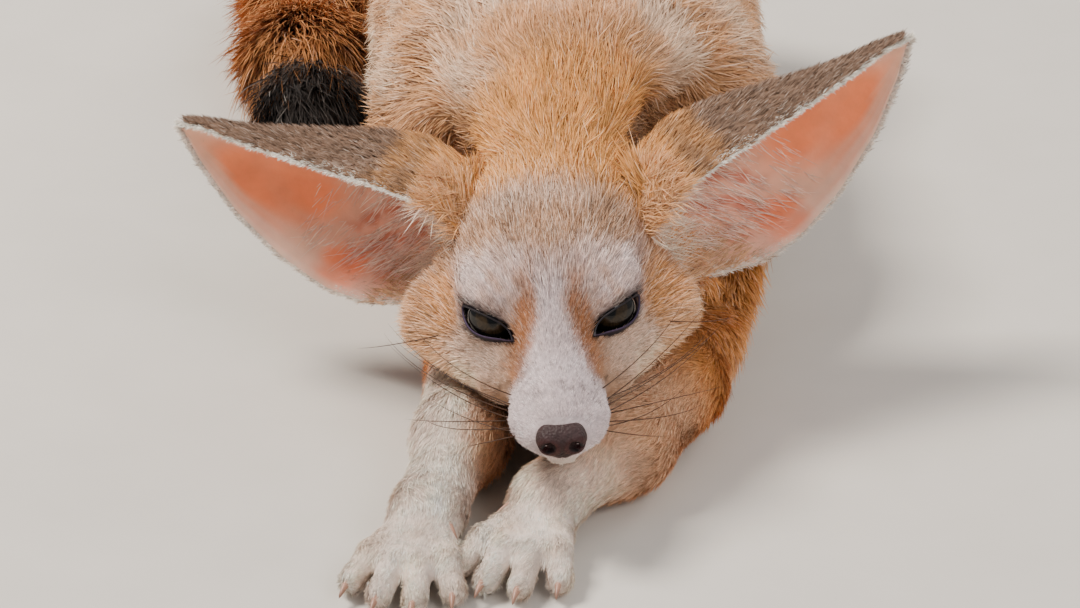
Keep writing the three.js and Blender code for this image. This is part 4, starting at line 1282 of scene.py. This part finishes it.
class FOX_OT_skin(bpy.types.Operator):
    """Make the skin: body, head, limbs and tail in one mesh with the ears joined to it"""

    bl_idname = "fox.skin"
    bl_label = "Skin and ears"

    def execute(self, context):
        sizes, tone = context.scene.fox_sizes, tones(context)
        step = sizes.skin_step * 1
        points, faces = voxel_mesh(body_distance, (-100, -10, -6), (92, 402, 114), step, 0.02)
        looks = [skin_material(), ear_material()]
        body = faces_object("skin", points, faces, looks)
        for side in SIDES:
            leaf = faces_object(f"leaf_{side}", *ear_mesh(EARS[side]), looks)
            sheet = leaf.data.polygons
            sheet.foreach_set("material_index", np.ones(len(sheet), dtype=np.int32))
            join_to(body, leaf)
        points, _ = mesh_arrays(body.data)
        paint(body.data, skin_colours(points, body.data, tone))
        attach(body, BODY)
        apart = ("eye_left", "eye_right", "nose")
        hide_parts(*[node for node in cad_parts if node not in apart])
        return {"FINISHED"}


def ear_wall(u):
    """Thickness of the ear's leaf, half as thick at its rims."""
    return EAR_THICKNESS * (0.5 + 0.5 * np.sin(math.pi * u))


def ear_mesh(ear):
    """The back and the ridged inner side of an ear, closed along the rims and at both ends."""
    rows, columns = 56, 40
    s = np.linspace(EAR_ROOT, 1, rows)[:, None] * np.ones(columns)
    u = np.ones(rows)[:, None] * np.linspace(0, 1, columns)
    ridges = 0.35 * np.sin(u * 26) * smooth(0.5, 0.1, s) * smooth(0.25, 0.5, u) * smooth(1, 0.8, u)
    back = ear.leaf(s, u).reshape(-1, 3)
    inner = ear.leaf(s, u, ear_wall(u) + ridges).reshape(-1, 3)
    points = np.concatenate([back, inner])
    sheet = rows * columns
    faces = grid_faces(rows, columns) + grid_faces(rows, columns, first=sheet, flip=True)
    for i in range(rows - 1):
        a, b = i * columns, (i + 1) * columns
        faces.append((a, b, sheet + b, sheet + a))
        a, b = a + columns - 1, b + columns - 1
        faces.append((b, a, sheet + a, sheet + b))
    last = (rows - 1) * columns
    for j in range(columns - 1):
        faces.append((j + 1, j, sheet + j, sheet + j + 1))
        faces.append((last + j, last + j + 1, sheet + last + j + 1, sheet + last + j))
    return points, outward(points, faces)


def join_to(body, piece):
    """Unite a closed piece with the body, and remove the piece."""
    union = body.modifiers.new("join", "BOOLEAN")
    union.operation = "UNION"
    union.object = piece
    union.solver = "MANIFOLD"
    context = bpy.context
    joined = bpy.data.meshes.new_from_object(body.evaluated_get(context.evaluated_depsgraph_get()))
    if len(joined.polygons) < len(body.data.polygons) * 0.5:
        union.solver = "EXACT"
        joined = bpy.data.meshes.new_from_object(body.evaluated_get(context.evaluated_depsgraph_get()))
    body.modifiers.clear()
    old = body.data
    body.data = joined
    bpy.data.meshes.remove(old)
    bpy.data.objects.remove(piece)
    joined.polygons.foreach_set("use_smooth", np.ones(len(joined.polygons), dtype=bool))


def ear_place(ear, points):
    """Shares along and across an ear for points on it, and whether they face into the cup."""
    s = (points - ear.base) @ ear.axis / ear.length
    shares = np.linspace(0, 1, 25)
    inside = np.clip(s, EAR_ROOT, 1)
    leaves = [ear.leaf(inside, np.full(len(s), share), 1.0) for share in shares]
    u = shares[np.argmin([np.linalg.norm(leaf - points, axis=1) for leaf in leaves], axis=0)]
    middle = ear.leaf(s, u, 1.0)
    return s, u, np.einsum("ij,ij->i", points - middle, ear_outward(ear, s, u)) < 0


def ear_outward(ear, s, u):
    """Direction out of the back of an ear."""
    return unit(ear.leaf(s, u) - ear.leaf(s, u, 1.0))


def skin_colours(points, mesh, tone):
    weights = part_weights(part_distances(points))
    colours = markings(points, weights, tone) * 0.8
    of_ear = np.repeat(read(mesh.polygons, "material_index") == 1, read(mesh.polygons, "loop_total"))
    on_ear = np.zeros(len(points), dtype=bool)
    on_ear[read(mesh.loops, "vertex_index")[of_ear]] = True
    for ear in EARS.values():
        chosen = np.flatnonzero(on_ear & ((points[:, 0] - 5) * ear.side > 0))
        s, u, inner = ear_place(ear, points[chosen])
        colours[chosen] = ear_markings(s, u, inner, tone)
    head_points = HEAD.inside(points)
    for side in SIDES.values():
        eye_points = in_eye(head_points, side)
        near = np.linalg.norm(eye_points, axis=1) < 13
        colours = shaded(colours, tone["lid"], near * smooth(1.3, 0.5, opening_distance(eye_points)))
    return colours


class FOX_OT_coat(bpy.types.Operator):
    """Grow the coat of the body, head, limbs and tail over the skin"""

    bl_idname = "fox.coat"
    bl_label = "Coat"

    def execute(self, context):
        sizes, tone = context.scene.fox_sizes, tones(context)
        density = sizes.density * 1
        tufts = body_tufts(use("skin"), density, tone)
        look = coat_material()
        head = tufts.head > 0.5
        brush = tufts.brush > 0.5
        legs = (tufts.legs > 0.5) & ~head & ~brush
        rest = ~(head | brush | legs)
        dark = brush & (tufts.points[:, 1] < TIP_START[1])
        long_face = head & (tufts.length > 4.5)
        grow_all("coat_face", tufts.part(head & ~long_face), sizes.blades + 1, 1, 200, look)
        grow_all("coat_crown", tufts.part(long_face), sizes.blades, 2, 210, look)
        grow_all("coat_body", tufts.part(rest), sizes.blades, 2, 220, look, 0.2)
        grow_all("coat_legs", tufts.part(legs), sizes.blades, 1, 240, look)
        grow_all("coat_tail", tufts.part(brush & ~dark), sizes.blades, 3, 260, look, 0.2)
        grow_all("coat_tail_tip", tufts.part(dark), sizes.blades, 3, 280, look, 0.2)
        return {"FINISHED"}


def ear_tufts(ear, s, u, inner, turn, length, width, lift, spread, pale, tone):
    """Tufts on an ear at shares s and u, with hair turned from the ear's line towards the lower rim."""
    to_tip = unit(ear.leaf(s + 0.01, u) - ear.leaf(s - 0.01, u))
    to_rim = unit(ear.leaf(s, np.clip(u + 0.01, 0, 1)) - ear.leaf(s, np.clip(u - 0.01, 0, 1)))
    normals = ear_outward(ear, s, u) * np.where(inner > 0.5, -1, 1)[:, None]
    flows = to_tip * np.cos(turn)[:, None] + to_rim * np.sin(turn)[:, None]
    base = ear_markings(s, u, inner > 0.5, tone)
    base = shaded(base, tone["white"] * 1.1, np.broadcast_to(pale, s.shape))
    tile = 6 * len(PARTS) + 2 * (ear.side > 0) + (inner > 0.5)
    share = np.stack([np.clip((s - EAR_ROOT) / (1 - EAR_ROOT), 0, 1), u], axis=-1)
    sizes = {"length": length, "width": width, "lift": lift, "spread": spread, "fleck": 0.6}
    return Tufts(
        points=ear.leaf(s, u, ear_wall(u) * inner),
        normals=normals,
        flows=along(flows, normals),
        low=base * (0.75 + 0.12 * inner[:, None]),
        high=np.clip(base * 1.15 + 0.02, 0, 1),
        patch=in_tile(share, tile),
        **{key: value * np.ones_like(s) for key, value in sizes.items()},
    )


def combined(tufts):
    """Several sets of tufts as one."""
    keys = tufts[0].__dict__
    return Tufts(**{key: np.concatenate([one.__dict__[key] for one in tufts]) for key in keys})


# Hair of the ears, row by row: its piece, its name and how many tufts; start, span and power of their
# shares along the ear; start and span across it, with no span for a rim; mean and spread of their turn;
# shortest and longest; width, lift, spread and paleness
EAR_HAIR = (
    ("back", "short", 8500, (-0.12, 1.1, 0.85), (0, 1), (0, 0.15), (3.4, 3.4), (0.36, 0.33, 0.5, 0)),
    ("inner", "down", 2200, (0, 0.95, 1.1), (0.06, 0.9), (0.9, 0.25), (3, 3), (0.16, 0.25, 0.6, 0.12)),
    ("inner", "long", 1300, (-0.1, 0.66, 1.7), (0.03, 0.85), (1.05, 0.2), (5, 12), (0.24, 0.3, 0.7, 0.6)),
    ("back", "knob", 700, (-0.13, 0.2, 1), (0, 0.14), (-0.4, 0.5), (5, 8.5), (0.3, 0.8, 0.9, 0.12)),
    ("inner", "root", 450, (-0.09, 0.15, 1), (0.3, 0.58), (0.3, 0.3), (4, 7), (0.26, 0.3, 0.7, 0.5)),
    ("fringe", "upper", 2700, (0, 1.02, 1), (0, 0), (-0.6, 0.35), (1.7, 1.7), (0.26, 0.4, 0.35, 1)),
    ("fringe", "lower", 1500, (0, 1.02, 1), (1, 0), (0.6, 0.35), (1.8, 1.8), (0.26, 0.4, 0.35, 0.9)),
)
RIM_SPREAD = 0.012


class FOX_OT_ear_hair(bpy.types.Operator):
    """Grow the short hair on the backs of the ears, the fringes of their rims and the long hair inside"""

    bl_idname = "fox.ear_hair"
    bl_label = "Ear hair"

    def execute(self, context):
        tone = tones(context)
        share = 1
        draw = np.random.default_rng(77)
        grown = {"back": [], "inner": [], "fringe": []}
        for ear in EARS.values():
            for piece, name, full, (start, span, power), (rim, width), turns, sizes, hair in EAR_HAIR:
                count = int(full * share)
                s = start + span * draw.random(count) ** power
                if width:
                    u = rim + width * draw.random(count)
                else:
                    u = np.abs(rim - np.abs(draw.normal(0, RIM_SPREAD, count)))
                turn = draw.normal(*turns, count)
                size = draw.uniform(*sizes, count) if sizes[0] < sizes[1] else sizes[0]
                if name == "short":
                    size = size + 3 * smooth(0.35, 0, s)
                elif name == "down":
                    turn = turn * smooth(0.9, 0.3, s)
                elif name == "long":
                    size = size * (0.4 + 0.6 * smooth(0.35, 0.6, u))
                if piece == "fringe" or name == "knob":
                    inner = draw.random(count)
                else:
                    inner = np.full(count, float(piece == "inner"))
                grown[piece].append(ear_tufts(ear, s, u, inner, turn, size, *hair, tone))
        look = coat_material()
        grow_all("ear_back_hair", combined(grown["back"]), 3, 2, 300, look)
        grow_all("ear_inner_hair", combined(grown["inner"]), 3, 2, 310, look)
        grow_all("ear_fringe", combined(grown["fringe"]), 3, 2, 320, look, 0.3)
        return {"FINISHED"}


GAZE = (0, -0.89, 0.45)
PUPIL = np.array([0.002, 0.002, 0.002])
DARK_WHITE = np.array([0.006, 0.005, 0.004])  # the ball outside the iris


def eyeball(side, tone):
    """An eyeball with a cornea that stands out, looking where both eyes look."""
    rows, columns = 64, 72
    gaze = unit(GAZE)
    right = unit(np.cross(gaze, (0, 0, 1)))
    top = np.cross(right, gaze)
    polar = np.linspace(0, math.pi, rows)
    around = np.linspace(0, 2 * math.pi, columns, endpoint=False)
    bulge = 0.5 * np.exp(-((polar / 0.62) ** 4))
    radius = EYE_RADIUS - 0.1 + bulge
    centre = HEAD.outside(EYE_CENTRE * np.array([side, 1, 1]))
    ring = np.cos(around)[:, None] * right + np.sin(around)[:, None] * top
    points = np.concatenate([r * (math.cos(p) * gaze + math.sin(p) * ring) for p, r in zip(polar, radius)])
    faces = grid_faces(rows, columns, closed=True)
    away = np.repeat(polar, columns) * EYE_RADIUS
    angle = np.tile(around, rows)
    x, y = away * np.cos(angle), away * np.sin(angle)
    streak = 1 + 0.35 * np.sin(angle * 23 + 3 * np.sin(angle * 7)) * np.clip(away / 4, 0, 1)
    result = shaded(tone["iris"] * streak[:, None], tone["iris"] * 1.4, smooth(4.2, 2.2, away) * 0.7)
    pupil = smooth(1.15, 0.8, np.sqrt((x / 1.5) ** 2 + (y / 2.6) ** 2))
    result = shaded(result, PUPIL, pupil)
    result = shaded(result, DARK_WHITE, smooth(4.5, 5.2, away))
    return points + centre, faces, result


def height_over_eye(x, y, side):
    """How far out of the eye the lids' surface lies."""
    lowest, highest = -3, 11
    result = np.full(len(x), float(lowest))
    for z in np.linspace(lowest, highest, 57):
        points = from_eye(np.stack([x, y, np.full(len(x), z)], axis=-1), side)
        result[HEADPART.distance(points) < -0.25] = z
    return result


def rounded(values, width):
    """Values round a ring, each the mean of as many neighbours as the width says."""
    half = width // 2
    closed = np.concatenate([values[-half:], values, values[:half]])
    return np.convolve(closed, np.ones(width) / width, "valid")


LID_SIDES = 12
LID_TURNS = np.arange(LID_SIDES) * 2 * math.pi / LID_SIDES


class FOX_OT_eyes(bpy.types.Operator):
    """Make the eyes and the bare rims of their lids"""

    bl_idname = "fox.eyes"
    bl_label = "Eyes and lids"

    def execute(self, context):
        tone = tones(context)
        for name, side in SIDES.items():
            points, faces, colours = eyeball(side, tone)
            eye = faces_object(f"eyeball_{name}", points, faces, [eye_material()], colours)
            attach(eye, BODY)
            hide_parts(f"eye_{name}")
            (upper_x, upper_y), (lower_x, lower_y) = lid_lines()
            x = np.concatenate([upper_x, lower_x[-2:0:-1]])
            y = np.concatenate([upper_y, lower_y[-2:0:-1]])
            lower = rounded(np.repeat([0.0, 1.0], [len(upper_x), len(lower_x) - 2]), 9)
            line = np.stack([x, y, rounded(height_over_eye(x, y, side), 7)], axis=-1)
            points, faces = lid_rim(line, lower, side)
            wet = np.repeat(lower, LID_SIDES) * smooth(0.4, 0.9, np.tile(-np.cos(LID_TURNS), len(lower)))
            colours = shaded(np.tile(tone["lid"], (len(points), 1)), tone["lower_lid"], wet)
            look = bare_material("lid_skin", 0.6, 2500, 0.0001)
            rim = faces_object(f"lid_rim_{name}", points, faces, [look], colours)
            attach(rim, BODY)
        return {"FINISHED"}


def lid_rim(line, lower, side):
    """A rounded band round the opening, broader on the lower lid."""
    count = len(line)
    closed = np.concatenate([line[-1:], line, line[:1]])
    tangents = unit(closed[2:] - closed[:-2])
    out = unit(np.stack([line[:, 0] * 0.2, line[:, 1] * 0.3, np.full(count, 1.0)], axis=-1))
    away = unit(np.cross(tangents, out))
    centre = line.mean(axis=0)
    away *= np.sign(np.einsum("ij,ij->i", away, line - centre))[:, None]
    broad = 0.24 + lower * (0.16 + 1.25 * smooth(4, -6, line[:, 0]))
    rings = (
        line[:, None]
        + away[:, None] * (broad[:, None, None] * (0.25 + np.cos(LID_TURNS))[None, :, None])
        + out[:, None] * (0.28 * np.sin(LID_TURNS) - 0.1)[None, :, None]
    )
    points = rings.reshape(-1, 3)
    faces = grid_faces(count + 1, LID_SIDES, closed=True)
    faces = [tuple(n % len(points) for n in face) for face in faces]
    return from_eye(points, side), outward(points * np.array([side, 1, 1]), faces)


# A nostril's painted place and radii, in the head's frame, the near-black painted shade deep in its hole
# and how much redder its rim is
NOSTRIL = {
    "place": np.array([3.6, -1.2, 0.3]),
    "radii": np.array([2.6, 3, 2.2]),
    "dark": np.array([0.003, 0.002, 0.002]),
    "flush": np.array([2.0, 1.1, 1.0]),
}


def nose_distance(points):
    """Distance from the nose pad, with its nostrils, the slits beside them and the groove cut into it."""
    local = HEAD.inside(points)
    pad = Flesh("pad", NOSE_BONES, HEAD).distance(points)
    for side in SIDES.values():
        hole = bone_distance(local, lump((side * 3.2, -1.6, 0.5), (1.5, 2.6, 1.5), 1))
        slit = bone_distance(local, lump((side * 5.7, 0.6, -0.7), (2.3, 1.8, 0.75), 1))
        pad = carved(pad, melted(hole, slit, 0.8), 0.5)
    groove = bone_distance(local, bone((0, -2.4, -1), (0.35, 0.9, 2), (0, -0.2, -5), (0.35, 1.1, 2), 1))
    return carved(pad, groove, 0.5)


class FOX_OT_nose(bpy.types.Operator):
    """Make the nose pad with its nostrils and the groove below them"""

    bl_idname = "fox.nose"
    bl_label = "Nose"

    def execute(self, context):
        tone = tones(context)
        middle = HEAD.outside((0, 2, 0))
        points, faces = voxel_mesh(nose_distance, middle - 12, middle + 12, 0.4, 0)
        local = HEAD.inside(points)
        local[:, 0] = np.abs(local[:, 0])
        away = np.linalg.norm((local - NOSTRIL["place"]) / NOSTRIL["radii"], axis=1)
        rim = smooth(1.5, 1.0, away) * smooth(0.55, 0.95, away)
        colours = np.tile(tone["nose"], (len(points), 1))
        colours = shaded(colours, tone["nose"] * NOSTRIL["flush"], 0.7 * rim)
        # Painted sheen: the pad turns lighter towards its top, where it faces the light
        colours = shaded(colours, tone["nose_top"], 0.75 * smooth(1.4, 3.6, local[:, 2]))
        # Painted shade: the nostril holes are darkened to near black where they are deepest
        colours = shaded(colours, NOSTRIL["dark"], smooth(0.8, 0.5, away))
        look = bare_material("nose_leather", 0.6, 1300, 0.0005)
        nose = faces_object("nose_pad", points, faces, [look], colours)
        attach(nose, BODY)
        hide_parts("nose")
        return {"FINISHED"}


def claws_on(place, width, length):
    """The four claws of a foot, each from the tip of its toe."""
    made = []
    for across, reach, splay in TOES:
        root = np.array([across * width + splay * 12, -length - reach + 20.8, 5.2])
        aim = unit((splay * 0.7, -1, 0.14))
        t = np.linspace(0, 1, 13)
        path = root + aim * (CLAW_LENGTH + 0.6) * t[:, None] + np.array([0, 0, -2.8]) * (t * t)[:, None]
        radii = 1.2 * (1 - t) ** 0.4 * (1 - 0.35 * t) + 0.04
        points, faces = swept(path, radii, 10, flat=1.25)
        made.append((place.outside(points), faces))
    return made


def dewclaw_on(place, side):
    """The claw above the paw, on its inner side."""
    t = np.linspace(0, 1, 13)
    path = np.stack([-side * (6.2 + 4.6 * t), -8 - 6 * t, 12.4 - 2.6 * t * t], axis=-1)
    points, faces = swept(path, 1.1 * (1 - t) ** 0.4 * (1 - 0.3 * t) + 0.04, 10, flat=1.2)
    return place.outside(points), faces


class FOX_OT_claws(bpy.types.Operator):
    """Make the claws of all four feet"""

    bl_idname = "fox.claws"
    bl_label = "Claws"

    def execute(self, context):
        tone = tones(context)
        look = bare_material("claw_horn", 0.35, 900, 0.0001, 0.2)
        for name, side in SIDES.items():
            front = claws_on(PAW_PLACE[name], PAW_WIDTH, PALM_LENGTH) + [dewclaw_on(PAW_PLACE[name], side)]
            hind = claws_on(FOOT_PLACE[name], FOOT_WIDTH, SOLE_LENGTH)
            for label, claws in (("forepaw", front), ("hindfoot", hind)):
                points, faces = gathered(claws)
                each = len(points) // len(claws)
                share = (np.arange(len(points)) % each) / each
                colours = shaded(np.tile(tone["claw"], (len(points), 1)), tone["claw"] * 0.35, share**2)
                made = faces_object(f"claws_{label}_{name}", points, faces, [look], colours)
                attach(made, BODY)
        return {"FINISHED"}


# Whiskers: where each leaves the face and where it ends, in the head's frame on the left side
WHISKERS = [
    ((11, 19, -1), (42, 52, 2)),
    ((11.5, 17.5, -2), (44, 50, 0)),
    ((12, 20.5, -2.5), (41, 54, 1)),
    ((11.5, 16, -3), (45, 46, -3)),
    ((10.5, 21.5, 0), (38, 54, 4)),
    ((12, 17, -4), (40, 33, -11)),
    ((11.5, 14, -4), (38, 26, -13)),
    ((11, 12.5, -4.5), (32, 31, -8)),
    ((9.5, 11, -4), (26, 18, -14)),
    ((28, 50, 0), (52, 60, -8)),
]


class FOX_OT_whiskers(bpy.types.Operator):
    """Make the whiskers of the muzzle and cheeks"""

    bl_idname = "fox.whiskers"
    bl_label = "Whiskers"

    def execute(self, context):
        tone = tones(context)
        thick = context.scene.fox_sizes.whisker_radius
        draw = np.random.default_rng(55)
        made = []
        for side in SIDES.values():
            for start, end in WHISKERS:
                start = np.array(start, dtype=float)
                end = np.array(end) + draw.normal(0, 1.5, 3)
                t = np.linspace(0, 1, 22)[:, None]
                bow = np.array([2.5, -3.5, 1.5]) + draw.normal(0, 0.7, 3)
                path = start + (end - start) * t + bow * (4 * t * (1 - t))
                path[:, 0] *= side
                points, faces = swept(HEAD.outside(path), thick * (1.02 - t[:, 0]) ** 0.7, 5)
                made.append((points, faces))
        points, faces = gathered(made)
        look = bare_material("whisker_hair", 0.45, 600, 0.00005)
        colours = np.tile(tone["whisker"], (len(points), 1))
        whiskers = faces_object("whiskers", points, faces, [look], colours)
        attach(whiskers, BODY)
        return {"FINISHED"}


# The camera stands where the photograph was taken: its place in the fox's frame, tilt and lens
CAMERA_PLACE = (0, -1203.1, 698.7)
CAMERA_TILT = math.radians(63)
CAMERA_LENS = 183
SENSOR = 36
FLOOR_HALF = 6.0

# Area lights: place in metres, watts, size and tint. All of them face the fox.
LIGHTS = {
    "key": ((-0.8, 0.05, 1.35), 37, 0.5, (1.0, 0.93, 0.84)),
    "fill": ((0.9, -1.4, 1.35), 18, 0.9, (1.0, 0.96, 0.92)),
    "rim": ((1.0, 0.9, 0.8), 9, 0.7, (1.0, 0.93, 0.85)),
}
LIT_PLACE = np.array([0, -0.08, 0.04])
SKY_TINT, SKY_STRENGTH = (0.9, 0.94, 1.0, 1), 0.42


def placed(name, data, place, turn):
    made = bpy.data.objects.new(name, data)
    made.location, made.rotation_euler = place, turn
    bpy.context.scene.collection.objects.link(made)
    return made


class FOX_OT_stage(bpy.types.Operator):
    """Set up the floor, the lights and the camera"""

    bl_idname = "fox.stage"
    bl_label = "Floor, lights and camera"

    def execute(self, context):
        mesh = bpy.data.meshes.new("floor")
        corners = [(x * FLOOR_HALF, y * FLOOR_HALF, 0) for x, y in ((-1, -1), (1, -1), (1, 1), (-1, 1))]
        mesh.from_pydata(corners, [], [(0, 1, 2, 3)])
        mesh.materials.append(floor_material())
        floor = placed("floor", mesh, (0, 0, 0), (0, 0, 0))
        world = bpy.data.worlds.new("soft_sky")
        world.use_nodes = True
        sky = world.node_tree.nodes["Background"]
        sky.inputs["Color"].default_value = SKY_TINT
        sky.inputs["Strength"].default_value = SKY_STRENGTH
        context.scene.world = world
        for name, (place, power, size, tint) in LIGHTS.items():
            data = bpy.data.lights.new(name, "AREA")
            data.energy, data.size, data.color = power, size, tint
            direction = Vector(LIT_PLACE - np.array(place)).to_track_quat("-Z", "Y")
            placed(name, data, place, direction.to_euler())
        data = bpy.data.cameras.new("camera")
        data.lens, data.sensor_width, data.clip_start = CAMERA_LENS, SENSOR, 0.05
        context.scene.camera = placed("camera", data, metres(CAMERA_PLACE), (CAMERA_TILT, 0, 0))
        return {"FINISHED"}


STEPS = (
    FOX_OT_stage,
    FOX_OT_skin,
    FOX_OT_coat,
    FOX_OT_ear_hair,
    FOX_OT_eyes,
    FOX_OT_nose,
    FOX_OT_claws,
    FOX_OT_whiskers,
)


class FOX_PT_panel(bpy.types.Panel):
    """Lists the settings and the steps that build the fox"""

    bl_idname = "FOX_PT_panel"
    bl_label = "Fennec fox"
    bl_space_type = "VIEW_3D"
    bl_region_type = "UI"
    bl_category = "Fox"

    def draw(self, context):
        for group in (context.scene.fox_sizes, context.scene.fox_colours):
            for key in type(group).__annotations__:
                self.layout.prop(group, key)
        for step in STEPS:
            self.layout.operator(step.bl_idname)


CLASSES = (FoxColours, FoxSizes, *STEPS, FOX_PT_panel)


def register():
    for one in CLASSES:
        bpy.utils.register_class(one)
    bpy.types.Scene.fox_colours = bpy.props.PointerProperty(type=FoxColours)
    bpy.types.Scene.fox_sizes = bpy.props.PointerProperty(type=FoxSizes)


def unregister():
    del bpy.types.Scene.fox_sizes
    del bpy.types.Scene.fox_colours
    for one in reversed(CLASSES):
        bpy.utils.unregister_class(one)


def main():
    register()
    for step in STEPS:
        family, name = step.bl_idname.split(".")
        getattr(getattr(bpy.ops, family), name)()


if __name__ == "__main__":
    main()
